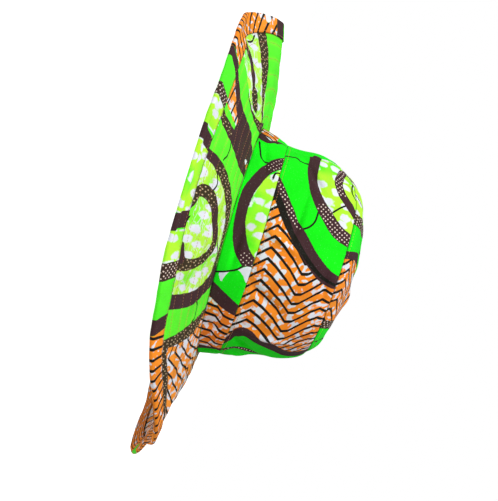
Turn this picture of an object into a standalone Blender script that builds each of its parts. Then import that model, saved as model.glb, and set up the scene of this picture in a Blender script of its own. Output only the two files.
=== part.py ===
"""Soft sun hat sewn from wax-print cotton: a wide drooping brim, its bound rim and a banded crown.

Metres, +Z up.  The hat rests on z = 0, its front at -X, its back at +X and its near side at -Y.
A turn is an angle in degrees about the crown: 0 is the back, 90 the far side, 180 the front.
"""
import math
from collections import namedtuple

import bmesh
import bpy
from mathutils import Vector

# Head ring, where the crown's cloth meets the brim
RING_HALF_LENGTH = 0.100
RING_HALF_WIDTH = 0.084
RING_HEIGHT = 0.040
RING_CENTRE_X = -0.0039
SIDE_LEAN = 0.038

# Oval of the tip seam, where the side panel meets the top panel
SEAM_HALF_LENGTH = 0.080
SEAM_HALF_WIDTH = 0.065
SEAM_CENTRE_X = -0.006
APEX_HEIGHT = 0.1095

# Shares of the crown's two curves that are plain, the rest being the round shoulder at the seam
WALL_STRAIGHT = 0.65
WALL_SHOULDER_POWER = 8
TIP_BOWL = 0.70
TIP_SHOULDER_POWER = 10

# Cloth walls and the gaps between pieces
BRIM_WALL = 0.0020
CROWN_WALL = 0.0015
BINDING_WALL = 0.0010
GAP = 0.0003
SEAM_GAP = 0.0008

# Binding: the tape's width on each face, measured from the rim
BINDING_WIDTH = 0.0146
BRIM_WIDTH = 0.101

# The resting rim is pressed on the surface by this much, over an easing of this height
PRESS = 0.0003
FLOOR_EASE = 0.0015

# Mesh steps
TURN_STEPS = 72
SIDE_ROWS = 6
BAND_ROWS = 2
TIP_ROWS = 6
BRIM_FIELD_ROWS = 5
BINDING_ARC_STEPS = 4

# Share of a panel's height taken by the row next to the tip seam, where both panels bend round
SEAM_ROW = 0.03
MERGE_DISTANCE = 1e-6
NORMAL_STEP = 0.01
MILLIMETRE = 0.001

# Brim sections in millimetres: how far the rim reaches out from the ring, and how high the brim
# lies at half its width and at the rim, counted from the ring's plane
BrimSection = namedtuple("BrimSection", "turn reach middle rim")
BRIM_SECTIONS = (
    BrimSection(turn=0, reach=98, middle=-9, rim=-28),
    BrimSection(turn=5, reach=98, middle=-10, rim=-32),
    BrimSection(turn=12, reach=96, middle=-11.5, rim=-34.7),
    BrimSection(turn=20, reach=96, middle=-13, rim=-36.7),
    BrimSection(turn=30, reach=95, middle=-14, rim=-37.5),
    BrimSection(turn=45, reach=94, middle=-14, rim=-45),
    BrimSection(turn=65, reach=94, middle=-13, rim=-52),
    BrimSection(turn=90, reach=93, middle=-13, rim=-53),
    BrimSection(turn=120, reach=94, middle=-11, rim=-52),
    BrimSection(turn=145, reach=95, middle=-7, rim=-48),
    BrimSection(turn=160, reach=95, middle=-3, rim=-33),
    BrimSection(turn=172, reach=92, middle=-1, rim=-15),
    BrimSection(turn=180, reach=90, middle=-1, rim=-9),
    BrimSection(turn=188, reach=91, middle=-3, rim=-17),
    BrimSection(turn=197, reach=93, middle=-7, rim=-29),
    BrimSection(turn=207, reach=96, middle=-10, rim=-40),
    BrimSection(turn=213, reach=97, middle=-11, rim=-33.5),
    BrimSection(turn=220, reach=96, middle=-12, rim=-31.5),
    BrimSection(turn=232, reach=95, middle=-12.5, rim=-30),
    BrimSection(turn=240, reach=95, middle=-12, rim=-30.7),
    BrimSection(turn=250, reach=94, middle=-10.5, rim=-33.5),
    BrimSection(turn=270, reach=93, middle=-9.5, rim=-33.5),
    BrimSection(turn=280, reach=93, middle=-9.5, rim=-29.5),
    BrimSection(turn=290, reach=93, middle=-9, rim=-26.5),
    BrimSection(turn=298, reach=94, middle=-8, rim=-24.5),
    BrimSection(turn=308, reach=95, middle=-6.5, rim=-18.3),
    BrimSection(turn=314, reach=95, middle=-5.5, rim=-13.3),
    BrimSection(turn=320, reach=96, middle=-5, rim=-9.4),
    BrimSection(turn=326, reach=97, middle=-4, rim=-6.8),
    BrimSection(turn=332, reach=97, middle=-4, rim=-7.3),
    BrimSection(turn=340, reach=90, middle=-6, rim=-12),
    BrimSection(turn=346, reach=87, middle=-7, rim=-17),
    BrimSection(turn=353, reach=92, middle=-8, rim=-22),
)

# Crown sections in millimetres above the ring's plane: the band's upper edge and the tip seam
CrownSection = namedtuple("CrownSection", "turn band seam")
CROWN_SECTIONS = (
    CrownSection(turn=0, band=18, seam=89),
    CrownSection(turn=45, band=22, seam=93),
    CrownSection(turn=90, band=27, seam=96),
    CrownSection(turn=130, band=26, seam=92),
    CrownSection(turn=155, band=25, seam=82),
    CrownSection(turn=180, band=24, seam=72),
    CrownSection(turn=200, band=25, seam=79),
    CrownSection(turn=215, band=26, seam=88),
    CrownSection(turn=235, band=27, seam=95),
    CrownSection(turn=270, band=28, seam=97),
    CrownSection(turn=310, band=24, seam=94),
    CrownSection(turn=340, band=19, seam=90),
)

# Soft folds of the crown's wall in millimetres, outwards where positive
CrownFold = namedtuple("CrownFold", "turn height turn_spread height_spread depth")
CROWN_FOLDS = (
    CrownFold(turn=0, height=50, turn_spread=30, height_spread=22, depth=-3.2),
    CrownFold(turn=180, height=28, turn_spread=30, height_spread=20, depth=-5.5),
    CrownFold(turn=190, height=70, turn_spread=9, height_spread=6, depth=-2.0),
    CrownFold(turn=205, height=60, turn_spread=5, height_spread=20, depth=1.5),
    CrownFold(turn=300, height=52, turn_spread=7, height_spread=26, depth=-2.0),
    CrownFold(turn=318, height=58, turn_spread=7, height_spread=26, depth=1.8),
    CrownFold(turn=338, height=70, turn_spread=7, height_spread=14, depth=-2.0),
    CrownFold(turn=352, height=62, turn_spread=8, height_spread=14, depth=1.5),
    CrownFold(turn=60, height=50, turn_spread=10, height_spread=24, depth=-2.0),
    CrownFold(turn=118, height=55, turn_spread=10, height_spread=24, depth=1.8),
)

# Soft dips and crests of the top panel in millimetres, upwards where positive
TipDent = namedtuple("TipDent", "x y spread rise")
TIP_DENTS = (
    TipDent(x=-12, y=5, spread=16, rise=1.0),
    TipDent(x=4, y=-5, spread=9, rise=-1.5),
    TipDent(x=19, y=0, spread=10, rise=3.0),
    TipDent(x=47, y=0, spread=16, rise=-2.0),
)

# Finishes, read from the print: colour, roughness
GREEN_CLOTH = (0.05, 0.80, 0.05)
ORANGE_CLOTH = (0.85, 0.30, 0.04)
BROWN_CLOTH = (0.10, 0.04, 0.04)
LIME_CLOTH = (0.50, 0.85, 0.12)
COTTON_ROUGHNESS = 0.8


def clear_scene():
    """Remove whatever the scene holds before the hat is made."""
    for leftover in list(bpy.data.objects):
        bpy.data.objects.remove(leftover, do_unlink=True)


def cotton(name, colour):
    """Matte cloth of one main colour."""
    finish = bpy.data.materials.new(name)
    finish.use_nodes = True
    shader = finish.node_tree.nodes["Principled BSDF"]
    shader.inputs["Base Color"].default_value = (*colour, 1.0)
    shader.inputs["Roughness"].default_value = COTTON_ROUGHNESS
    shader.inputs["Metallic"].default_value = 0.0
    return finish


def around(sections, column, turn):
    """Value of a table's column at a turn, on a smooth closed curve through its rows."""
    count = len(sections)
    turn %= 360.0
    after = sum(1 for section in sections if section.turn <= turn)
    spots = []
    values = []
    for index in range(after - 2, after + 2):
        section = sections[index % count]
        spots.append(section.turn + 360.0 * (index // count))
        values.append(getattr(section, column))
    span = spots[2] - spots[1]
    share = (turn - spots[1]) / span
    slope_in = (values[2] - values[0]) / (spots[2] - spots[0]) * span
    slope_out = (values[3] - values[1]) / (spots[3] - spots[1]) * span
    cube = share ** 3
    square = share ** 2
    blend = (2 * cube - 3 * square + 1) * values[1] + (cube - 2 * square + share) * slope_in
    blend += (3 * square - 2 * cube) * values[2] + (cube - square) * slope_out
    return blend * MILLIMETRE


def ring_point(turn):
    """Point of the head ring's oval, in plan."""
    angle = math.radians(turn)
    return Vector((RING_HALF_LENGTH * math.cos(angle), RING_HALF_WIDTH * math.sin(angle), 0.0))


def outward(turn):
    """Direction straight out from the head ring, in plan."""
    angle = math.radians(turn)
    return Vector((RING_HALF_WIDTH * math.cos(angle), RING_HALF_LENGTH * math.sin(angle), 0.0)).normalized()


def stand(point, height):
    """Lift a plan point to a height over the ring's leaning plane, the whole hat centred on x = 0."""
    return Vector((point.x + RING_CENTRE_X, point.y, RING_HEIGHT + SIDE_LEAN * point.y + height))


def eased(height, floor):
    """Height kept above a floor, meeting it in a soft curve."""
    excess = height - floor
    if excess >= FLOOR_EASE:
        return height
    if excess <= -FLOOR_EASE:
        return floor
    return floor + (excess + FLOOR_EASE) ** 2 / (4.0 * FLOOR_EASE)


def brim_point(turn, share):
    """Middle of the brim's wall, at a share of its width from the ring out to the rim."""
    point = ring_point(turn) + outward(turn) * around(BRIM_SECTIONS, "reach", turn) * share
    middle = around(BRIM_SECTIONS, "middle", turn)
    rim = around(BRIM_SECTIONS, "rim", turn)
    out = max(share, 0.0)
    rise = 4.0 * middle * out * (1.0 - out) + rim * out * (2.0 * out - 1.0)
    point = stand(point, rise - BRIM_WALL / 2 - GAP)
    half_edge = BRIM_WALL / 2 + GAP + BINDING_WALL
    point.z = eased(point.z, half_edge - PRESS)
    return point


def brim_frame(turn, share):
    """The brim's middle point there, the way out along its surface and its upward normal."""
    here = brim_point(turn, share)
    out = (here - brim_point(turn, share - NORMAL_STEP)).normalized()
    along = brim_point(turn + 1.0, share) - brim_point(turn - 1.0, share)
    up = out.cross(along).normalized()
    return here, out, up


def crown_fold(turn, height):
    """How far the crown's folds push its wall outwards there."""
    push = 0.0
    for fold in CROWN_FOLDS:
        turned = (turn - fold.turn + 180.0) % 360.0 - 180.0
        raised = height / MILLIMETRE - fold.height
        push += fold.depth * math.exp(-(turned / fold.turn_spread) ** 2 - (raised / fold.height_spread) ** 2)
    return push * MILLIMETRE


def seam_point(turn):
    """Point of the tip seam's oval, in plan."""
    angle = math.radians(turn)
    x = SEAM_CENTRE_X + SEAM_HALF_LENGTH * math.cos(angle)
    return Vector((x, SEAM_HALF_WIDTH * math.sin(angle), 0.0))


def wall_point(turn, share):
    """Outer face of the crown's wall, at a share of its height from the ring to the tip seam."""
    height = around(CROWN_SECTIONS, "seam", turn) * share
    drawn_in = WALL_STRAIGHT * share + (1.0 - WALL_STRAIGHT) * share ** WALL_SHOULDER_POWER
    point = ring_point(turn).lerp(seam_point(turn), drawn_in)
    point += outward(turn) * crown_fold(turn, height) * 4.0 * share * (1.0 - share)
    return stand(point, height)


def tip_point(turn, share):
    """Outer face of the top panel, at a share of the way from its middle out to the seam."""
    centre = Vector((SEAM_CENTRE_X, 0.0, 0.0))
    point = centre.lerp(seam_point(turn), share)
    bowl = TIP_BOWL * share ** 2 + (1.0 - TIP_BOWL) * share ** TIP_SHOULDER_POWER
    height = APEX_HEIGHT + (around(CROWN_SECTIONS, "seam", turn) - APEX_HEIGHT) * bowl
    for dent in TIP_DENTS:
        away = (point - Vector((dent.x, dent.y, 0.0)) * MILLIMETRE).length / (dent.spread * MILLIMETRE)
        height += dent.rise * MILLIMETRE * math.exp(-away ** 2) * (1.0 - share ** 2)
    return stand(point, height)


def looped_mesh(name, rows, place, crossed_rows=()):
    """A grid wrapped once round the crown, each vertex put where place says for its turn and row.

    All squares are cut along the same diagonal, and those of the crossed rows along the other, so
    that two faces that lie on each other bend alike.
    """
    bm = bmesh.new()
    steps = len(rows) - 1
    bmesh.ops.create_grid(bm, x_segments=TURN_STEPS, y_segments=steps, size=0.5)
    crossed = [face for face in bm.faces if int((face.calc_center_median().y + 0.5) * steps) in crossed_rows]
    plain = [face for face in bm.faces if face not in crossed]
    bmesh.ops.triangulate(bm, faces=plain, quad_method="FIXED")
    bmesh.ops.triangulate(bm, faces=crossed, quad_method="ALTERNATE")
    for vert in bm.verts:
        column = round((vert.co.x + 0.5) * TURN_STEPS)
        row = round((vert.co.y + 0.5) * steps)
        vert.co = place(360.0 * column / TURN_STEPS, rows[row])
    bmesh.ops.remove_doubles(bm, verts=bm.verts, dist=MERGE_DISTANCE)
    mesh = bpy.data.meshes.new(name)
    bm.to_mesh(mesh)
    bm.free()
    mesh.shade_smooth()
    return mesh


def add_piece(mesh, finish, parts):
    """Put a mesh in the hat's collection as its own named object."""
    piece = bpy.data.objects.new(mesh.name, mesh)
    piece.data.materials.append(finish)
    parts.objects.link(piece)
    return piece


def thicken(piece, wall, offset):
    """Give an open sheet its wall, -1 inwards from its face and 0 to both sides."""
    solidify = piece.modifiers.new("wall", "SOLIDIFY")
    solidify.thickness = wall
    solidify.offset = offset
    solidify.use_even_offset = True
    return piece


def shares(first, last, steps):
    """Evenly spaced shares from the first to the last."""
    return [first + (last - first) * step / steps for step in range(steps + 1)]


def make_brim(parts):
    """Brim from its rim in to the edge that lies under the crown's wall."""
    tape_share = BINDING_WIDTH / BRIM_WIDTH
    tucked_edge = -CROWN_WALL / BRIM_WIDTH
    rows = [1.0, 1.0 - tape_share / 2] + shares(1.0 - tape_share, 0.0, BRIM_FIELD_ROWS) + [tucked_edge]
    mesh = looped_mesh("brim", rows, brim_point)
    return thicken(add_piece(mesh, cotton("brim_cotton", GREEN_CLOTH), parts), BRIM_WALL, 0.0)


def binding_section(half_gap):
    """Places along one face of the folded tape: its distance in from the rim, and how far it has
    turned round the edge, from 90 degrees on top of the brim to -90 below it."""
    over = [(BINDING_WIDTH * share, 90.0) for share in (1.0, 0.5)]
    edge = [(0.0, angle) for angle in shares(90.0, -90.0, BINDING_ARC_STEPS)]
    under = [(inset, -90.0) for inset, _ in reversed(over)]
    return [(inset, angle, half_gap) for inset, angle in over + edge + under]


def binding_point(turn, place):
    """Point of the tape's section, offset from the brim's middle by the tape's face."""
    inset, angle, offset = place
    here, out, up = brim_frame(turn, 1.0 - inset / BRIM_WIDTH)
    lean = math.radians(angle)
    point = here + out * offset * math.cos(lean) + up * offset * math.sin(lean)
    point.z = max(point.z, 0.0)
    return point


def make_binding(parts):
    """Tape folded over the rim, its ring of sections closed into one solid."""
    inner_face = BRIM_WALL / 2 + GAP
    outer = binding_section(inner_face + BINDING_WALL)
    inner = binding_section(inner_face)
    loop = outer + inner[::-1]
    under_rows = range(len(outer), len(outer) + 2)
    mesh = looped_mesh("brim_binding", loop + loop[:1], binding_point, under_rows)
    bm = bmesh.new()
    bm.from_mesh(mesh)
    bmesh.ops.recalc_face_normals(bm, faces=bm.faces)
    bm.to_mesh(mesh)
    bm.free()
    return add_piece(mesh, cotton("binding_cotton", ORANGE_CLOTH), parts)


def band_share(turn):
    """Share of the wall's height where the band ends and the side panel starts."""
    return around(CROWN_SECTIONS, "band", turn) / around(CROWN_SECTIONS, "seam", turn)


def gap_share(turn, gap):
    """A gap along the wall, as a share of its height."""
    return gap / around(CROWN_SECTIONS, "seam", turn)


def make_band(parts):
    """Strip at the foot of the crown, standing on the brim's inner edge."""
    def place(turn, row):
        foot = gap_share(turn, GAP)
        return wall_point(turn, foot + (band_share(turn) - foot) * row)

    mesh = looped_mesh("crown_band", shares(0.0, 1.0, BAND_ROWS), place)
    return thicken(add_piece(mesh, cotton("band_cotton", BROWN_CLOTH), parts), CROWN_WALL, -1.0)


def make_side(parts):
    """Side panel of the crown, from the band up to the tip seam."""
    def place(turn, row):
        start = band_share(turn) + gap_share(turn, GAP)
        return wall_point(turn, start + (1.0 - start) * row)

    rows = shares(0.0, 1.0 - SEAM_ROW, SIDE_ROWS - 1) + [1.0]
    mesh = looped_mesh("crown_side", rows, place)
    return thicken(add_piece(mesh, cotton("side_cotton", GREEN_CLOTH), parts), CROWN_WALL, -1.0)


def make_tip(parts):
    """Domed top panel, its edge a seam's gap inside the side panel's."""
    edge = 1.0 - SEAM_GAP / SEAM_HALF_WIDTH
    rows = [edge] + shares(edge - SEAM_ROW, 0.0, TIP_ROWS - 1)
    mesh = looped_mesh("crown_tip", rows, tip_point)
    return thicken(add_piece(mesh, cotton("tip_cotton", LIME_CLOTH), parts), CROWN_WALL, -1.0)


def main():
    """Build the hat's five pieces in a collection of their own."""
    clear_scene()
    parts = bpy.data.collections.new("wax_print_hat")
    bpy.context.scene.collection.children.link(parts)
    make_brim(parts)
    make_binding(parts)
    make_band(parts)
    make_side(parts)
    make_tip(parts)


main()
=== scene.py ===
import logging
import math
from dataclasses import dataclass
from enum import Enum

import bmesh
import bpy
import numpy as np
from mathutils import Matrix, Vector


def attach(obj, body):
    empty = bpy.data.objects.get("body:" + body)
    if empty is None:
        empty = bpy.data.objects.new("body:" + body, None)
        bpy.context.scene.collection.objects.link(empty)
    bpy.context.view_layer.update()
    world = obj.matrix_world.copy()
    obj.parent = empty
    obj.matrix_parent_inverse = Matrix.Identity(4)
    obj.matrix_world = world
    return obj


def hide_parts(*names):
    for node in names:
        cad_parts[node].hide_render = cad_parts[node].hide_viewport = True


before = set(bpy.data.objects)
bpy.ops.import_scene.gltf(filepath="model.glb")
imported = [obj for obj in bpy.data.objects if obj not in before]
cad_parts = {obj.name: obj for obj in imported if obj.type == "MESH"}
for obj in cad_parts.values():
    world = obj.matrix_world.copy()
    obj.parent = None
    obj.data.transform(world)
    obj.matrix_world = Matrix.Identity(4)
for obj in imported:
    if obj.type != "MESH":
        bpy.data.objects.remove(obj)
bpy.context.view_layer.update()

log = logging.getLogger("sun_hat")

MM = 0.001
ROOT_BODY = "root"
BAKE_MAP = "OFBake"
CLOTH_MAP = "cloth"
CLOTH_MAP_SCALE = 100.0
MERGE_DISTANCE = 1e-6
FAR_FROM_INK = 9.0
SHUT_LOOP = 360.0
HALF_LOOP = 180.0
STITCHED_STEPS = 1440
ALMOST_SEAM = 1.0 - 1e-4
TINY = 1e-9
UNMOVED = (0.0, 0.0, 0.0)

Array = np.ndarray
Socket = bpy.types.NodeSocket
Points = tuple[tuple[float, ...], ...]


@dataclass(frozen=True)
class BrimSection:
    """How far the brim reaches out at a turn, and its height at mid width and at the rim, in mm."""

    turn: float
    reach: float
    middle: float
    rim: float


@dataclass(frozen=True)
class CrownSection:
    """Heights of the band's upper edge and of the tip seam above the ring at a turn, in mm."""

    turn: float
    band: float
    seam: float


@dataclass(frozen=True)
class CrownFold:
    """A soft fold of the crown's wall, outwards where its depth in mm is positive."""

    turn: float
    height: float
    turn_spread: float
    height_spread: float
    depth: float


@dataclass(frozen=True)
class TipDent:
    """A soft dip or crest of the top panel, upwards where its rise in mm is positive."""

    x: float
    y: float
    spread: float
    rise: float


@dataclass(frozen=True)
class Crease:
    """A short crease in a panel: its middle, lean in degrees, half length, half width and push, in mm."""

    across: float
    up: float
    lean: float
    half_length: float
    half_width: float
    push: float

    def at(self, across: Array, up: Array) -> Array:
        """How far the crease pushes the cloth outwards.

        Args:
            across: Millimetres along the panel.
            up: Millimetres up the panel.

        Returns:
            The push in metres at each point.
        """
        lean = math.radians(self.lean)
        along = (across - self.across) * math.cos(lean) + (up - self.up) * math.sin(lean)
        beside = (up - self.up) * math.cos(lean) - (across - self.across) * math.sin(lean)
        fall = (along / self.half_length) ** 2 + (beside / self.half_width) ** 2
        return self.push * MM * np.exp(-fall)


@dataclass(frozen=True)
class Rumple:
    """Low random waviness of cloth, a sum of waves that may close round a loop."""

    seed: int
    depth: float
    first_low: float
    first_high: float
    second_low: float
    second_high: float
    closed: bool = True
    waves: int = 16

    def at(self, first: Array, second: Array) -> Array:
        """Height of the waves.

        Args:
            first: Radians round the loop, or millimetres where the cloth isn't a loop.
            second: Millimetres across.

        Returns:
            The height in metres at each point.
        """
        chance = np.random.default_rng(self.seed)
        height = np.zeros(np.broadcast(first, second).shape)
        for _ in range(self.waves):
            rate = chance.uniform(self.first_low, self.first_high)
            rate = round(rate) if self.closed else rate
            cross = chance.uniform(self.second_low, self.second_high) * chance.choice((-1.0, 1.0))
            phase = chance.uniform(0.0, 2.0 * math.pi)
            height = height + np.cos(rate * first + cross * second + phase)
        return self.depth * MM * height / math.sqrt(self.waves / 2.0)


def around(sections: tuple, column: str, turn: Array) -> Array:
    """Value of a table's column at each turn, on a smooth closed curve through its rows.

    Args:
        sections: Rows in order of their turn.
        column: Name of the field to read.
        turn: Turns in degrees.

    Returns:
        The values in metres.
    """
    spots = np.array([section.turn for section in sections], dtype=float)
    values = np.array([getattr(section, column) for section in sections], dtype=float)
    turn = np.mod(turn, SHUT_LOOP)
    rows = np.searchsorted(spots, turn, side="right")[..., None] + np.arange(-2, 2)
    lap, rows = np.divmod(rows, len(sections))
    spot = spots[rows] + SHUT_LOOP * lap
    value = values[rows]
    span = spot[..., 2] - spot[..., 1]
    share = (turn - spot[..., 1]) / span
    slope_in = (value[..., 2] - value[..., 0]) / (spot[..., 2] - spot[..., 0]) * span
    slope_out = (value[..., 3] - value[..., 1]) / (spot[..., 3] - spot[..., 1]) * span
    cube = share**3
    square = share**2
    blend = (2 * cube - 3 * square + 1) * value[..., 1] + (cube - 2 * square + share) * slope_in
    blend = blend + (3 * square - 2 * cube) * value[..., 2] + (cube - square) * slope_out
    return blend * MM


def bell(gap: Array, spread: float) -> Array:
    """A smooth bump, one where the gap is nought, that fades over the spread."""
    return np.exp(-((gap / spread) ** 2))


def ramp(run: Array, length: float) -> Array:
    """A rise from nought to one over a length, level before and after it."""
    return np.clip(run / length, 0.0, 1.0)


def unit(vectors: Array) -> Array:
    """The same directions with a length of one."""
    return vectors / np.maximum(np.linalg.norm(vectors, axis=-1, keepdims=True), 1e-12)


def oval(turn: Array, half_length: float, half_width: float, centre: float = 0.0) -> Array:
    """Plan points of an oval about the crown's lengthwise axis.

    Args:
        turn: Turns in degrees.
        half_length: Half of its length along X.
        half_width: Half of its width along Y.
        centre: Where its middle lies along X.

    Returns:
        The points, X and Y in the last axis.
    """
    angle = np.radians(turn)
    return np.stack([centre + half_length * np.cos(angle), half_width * np.sin(angle)], axis=-1)


@dataclass(frozen=True)
class HatShape:
    """The form of the whole hat, in metres.

    The turn is 0 at the back, 90 at the far side, 180 in front and 270 at the near side. Stitched rows
    are given in mm in from the rim.
    """

    ring_half_length: float = 0.100
    ring_half_width: float = 0.084
    ring_height: float = 0.040
    ring_centre: float = -0.0039
    side_lean: float = 0.038
    seam_half_length: float = 0.080
    seam_half_width: float = 0.065
    seam_centre: float = -0.006
    apex_height: float = 0.1095
    wall_straight: float = 0.65
    wall_shoulder_power: int = 8
    tip_bowl: float = 0.70
    tip_shoulder_power: int = 10
    brim_wall: float = 0.0020
    crown_wall: float = 0.0015
    binding_wall: float = 0.0010
    gap: float = 0.0003
    press: float = 0.0003
    floor_ease: float = 0.0015
    brim_width: float = 0.101
    tape_width: float = 0.0146
    normal_step: float = 0.01
    quilt_rows: tuple[float, ...] = (22.0, 36.0, 50.0, 63.0, 76.0, 89.0)
    quilt_puff: float = 0.00042
    quilt_spread: float = 3.2
    quilt_pucker: float = 0.00016
    pucker_spread: float = 5.0
    pucker_seed: int = 40
    pucker_waves: int = 4
    pucker_rates: tuple[float, float] = (70, 150)
    pucker_lap: float = 6.28
    pucker_slant: float = 0.25
    brim_sections: tuple[BrimSection, ...] = tuple(BrimSection(*row) for row in (
        (0, 98, -9, -28), (5, 98, -10, -32), (12, 96, -11.5, -34.7), (20, 96, -13, -36.7),
        (30, 95, -14, -37.5), (45, 94, -14, -45), (65, 94, -13, -52), (90, 93, -13, -53),
        (120, 94, -11, -52), (145, 95, -7, -48), (160, 95, -3, -33), (172, 92, -1, -15), (180, 90, -1, -9),
        (188, 91, -3, -17), (197, 93, -7, -29), (207, 96, -10, -40), (213, 97, -11, -33.5),
        (220, 96, -12, -31.5), (232, 95, -12.5, -30), (240, 95, -12, -30.7), (250, 94, -10.5, -33.5),
        (270, 93, -9.5, -33.5), (280, 93, -9.5, -29.5), (290, 93, -9, -26.5), (298, 94, -8, -24.5),
        (308, 95, -6.5, -18.3), (314, 95, -5.5, -13.3), (320, 96, -5, -9.4), (326, 97, -4, -6.8),
        (332, 97, -4, -7.3), (340, 90, -6, -12), (346, 87, -7, -17), (353, 92, -8, -22),
    ))
    crown_sections: tuple[CrownSection, ...] = tuple(CrownSection(*row) for row in (
        (0, 18, 89), (45, 22, 93), (90, 27, 96), (130, 26, 92), (155, 25, 82), (180, 24, 72), (200, 25, 79),
        (215, 26, 88), (235, 27, 95), (270, 28, 97), (310, 24, 94), (340, 19, 90),
    ))
    crown_folds: tuple[CrownFold, ...] = tuple(CrownFold(*row) for row in (
        (0, 50, 30, 22, -3.2), (180, 28, 30, 20, -5.5), (190, 70, 9, 6, -2.0), (205, 60, 5, 20, 1.5),
        (300, 52, 7, 26, -2.0), (318, 58, 7, 26, 1.8), (338, 70, 7, 14, -2.0), (352, 62, 8, 14, 1.5),
        (60, 50, 10, 24, -2.0), (118, 55, 10, 24, 1.8),
    ))
    tip_dents: tuple[TipDent, ...] = tuple(TipDent(*row) for row in (
        (-12, 5, 16, 1.0), (4, -5, 9, -1.5), (19, 0, 10, 3.0), (47, 0, 16, -2.0),
    ))
    brim_rumple: Rumple = Rumple(
        seed=3, depth=0.35, first_low=9, first_high=26, second_low=0.0, second_high=0.07
    )
    crown_rumple: Rumple = Rumple(
        seed=8, depth=0.32, first_low=6, first_high=24, second_low=0.05, second_high=0.22
    )
    tip_rumple: Rumple = Rumple(
        seed=12, depth=0.30, first_low=0.05, first_high=0.24, second_low=0.05, second_high=0.24, closed=False
    )

    def ring(self, turn: Array) -> Array:
        """Plan points of the head ring."""
        return oval(turn, self.ring_half_length, self.ring_half_width)

    def outward(self, turn: Array) -> Array:
        """Plan directions straight out from the head ring."""
        return unit(oval(turn, self.ring_half_width, self.ring_half_length))

    def stand(self, plan: Array, height: Array) -> Array:
        """Lift plan points to heights over the ring's leaning plane.

        Args:
            plan: X and Y of each point.
            height: Height of each point over the plane.

        Returns:
            The points in space.
        """
        rise = self.ring_height + self.side_lean * plan[..., 1] + height
        return np.stack([plan[..., 0] + self.ring_centre, plan[..., 1], rise], axis=-1)

    def brim_middle(self, turn: Array, share: Array) -> Array:
        """Middle of the brim's wall.

        Args:
            turn: Turns in degrees.
            share: Shares of the brim's width, 0 at the ring and 1 at the rim.

        Returns:
            The points in space, kept above the surface that the hat rests on.
        """
        reach = around(self.brim_sections, "reach", turn)
        middle = around(self.brim_sections, "middle", turn)
        rim = around(self.brim_sections, "rim", turn)
        plan = self.ring(turn) + self.outward(turn) * (reach * share)[..., None]
        out = np.maximum(share, 0.0)
        rise = 4.0 * middle * out * (1.0 - out) + rim * out * (2.0 * out - 1.0)
        points = self.stand(plan, rise - self.brim_wall / 2 - self.gap)
        floor = self.brim_wall / 2 + self.gap + self.binding_wall - self.press
        excess = points[..., 2] - floor
        soft = floor + (excess + self.floor_ease) ** 2 / (4.0 * self.floor_ease)
        lowest = np.where(excess <= -self.floor_ease, floor, soft)
        points[..., 2] = np.where(excess >= self.floor_ease, points[..., 2], lowest)
        return points

    def brim_frame(self, turn: Array, share: Array) -> tuple[Array, Array, Array]:
        """The brim's middle with its own directions.

        Args:
            turn: Turns in degrees.
            share: Shares of the brim's width.

        Returns:
            The points, the way out along the cloth and its upward normal.
        """
        here = self.brim_middle(turn, share)
        out = unit(here - self.brim_middle(turn, share - self.normal_step))
        along = self.brim_middle(turn + 1.0, share) - self.brim_middle(turn - 1.0, share)
        return here, out, unit(np.cross(out, along))

    def row_distance(self, share: Array) -> Array:
        """Millimetres from each share of the brim's width to the nearest stitched row."""
        inset = (1.0 - share) * self.brim_width / MM
        rows = np.array(self.quilt_rows + (self.tape_width / MM, self.brim_width / MM))
        return np.abs(inset[..., None] - rows).min(axis=-1)

    def quilt(self, turn: Array, share: Array, face: int) -> Array:
        """How far the brim's cloth stands off its middle between the stitched rows.

        Args:
            turn: Turns in degrees.
            share: Shares of the brim's width.
            face: 1 for the upper cloth and -1 for the lower.

        Returns:
            The height of the puffed and puckered cloth in metres.
        """
        inset = (1.0 - share) * self.brim_width / MM
        from_row = self.row_distance(share)
        loose = 1.0 - bell(from_row, self.quilt_spread)
        lane = np.searchsorted(np.array(self.quilt_rows), inset)
        pucker = np.zeros(np.broadcast(turn, share).shape)
        angle = np.radians(turn)
        for number in range(len(self.quilt_rows) + 1):
            chance = np.random.default_rng(self.pucker_seed + 10 * number + face)
            ripple = np.zeros_like(pucker)
            for _ in range(self.pucker_waves):
                rate = round(chance.uniform(*self.pucker_rates))
                start = chance.uniform(0, self.pucker_lap)
                ripple = ripple + np.cos(rate * angle + start + self.pucker_slant * inset)
            pucker = np.where(lane == number, ripple / 2.0, pucker)
        field = ramp(inset - self.tape_width / MM, 1.5) * np.clip(share * 30.0, 0.0, 1.0)
        near_row = bell(from_row, self.pucker_spread)
        return field * (self.quilt_puff * loose + self.quilt_pucker * pucker * loose * near_row)

    def brim_face(self, turn: Array, share: Array, face: int) -> tuple[Array, Array]:
        """Outer surface of one of the brim's two cloths.

        Args:
            turn: Turns in degrees.
            share: Shares of the brim's width.
            face: 1 for the upper cloth and -1 for the lower.

        Returns:
            The points and their outward normals.
        """
        here, _, up = self.brim_frame(turn, share)
        calm = np.clip((1.0 - share) * 5.0 - 0.75, 0.0, 1.0) * np.clip(share * 6.0, 0.0, 1.0)
        drift = self.brim_rumple.at(np.radians(turn), share * self.brim_width / MM) * calm
        lift = face * (self.brim_wall / 2 + self.quilt(turn, share, face)) + drift
        return here + up * lift[..., None], up * face

    def crown_fold(self, turn: Array, height: Array) -> Array:
        """How far the crown's folds push its wall outwards, in metres."""
        push = np.zeros(np.broadcast(turn, height).shape)
        for fold in self.crown_folds:
            turned = np.mod(turn - fold.turn + HALF_LOOP, SHUT_LOOP) - HALF_LOOP
            raised = height / MM - fold.height
            fall = (turned / fold.turn_spread) ** 2 + (raised / fold.height_spread) ** 2
            push = push + fold.depth * MM * np.exp(-fall)
        return push

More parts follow.
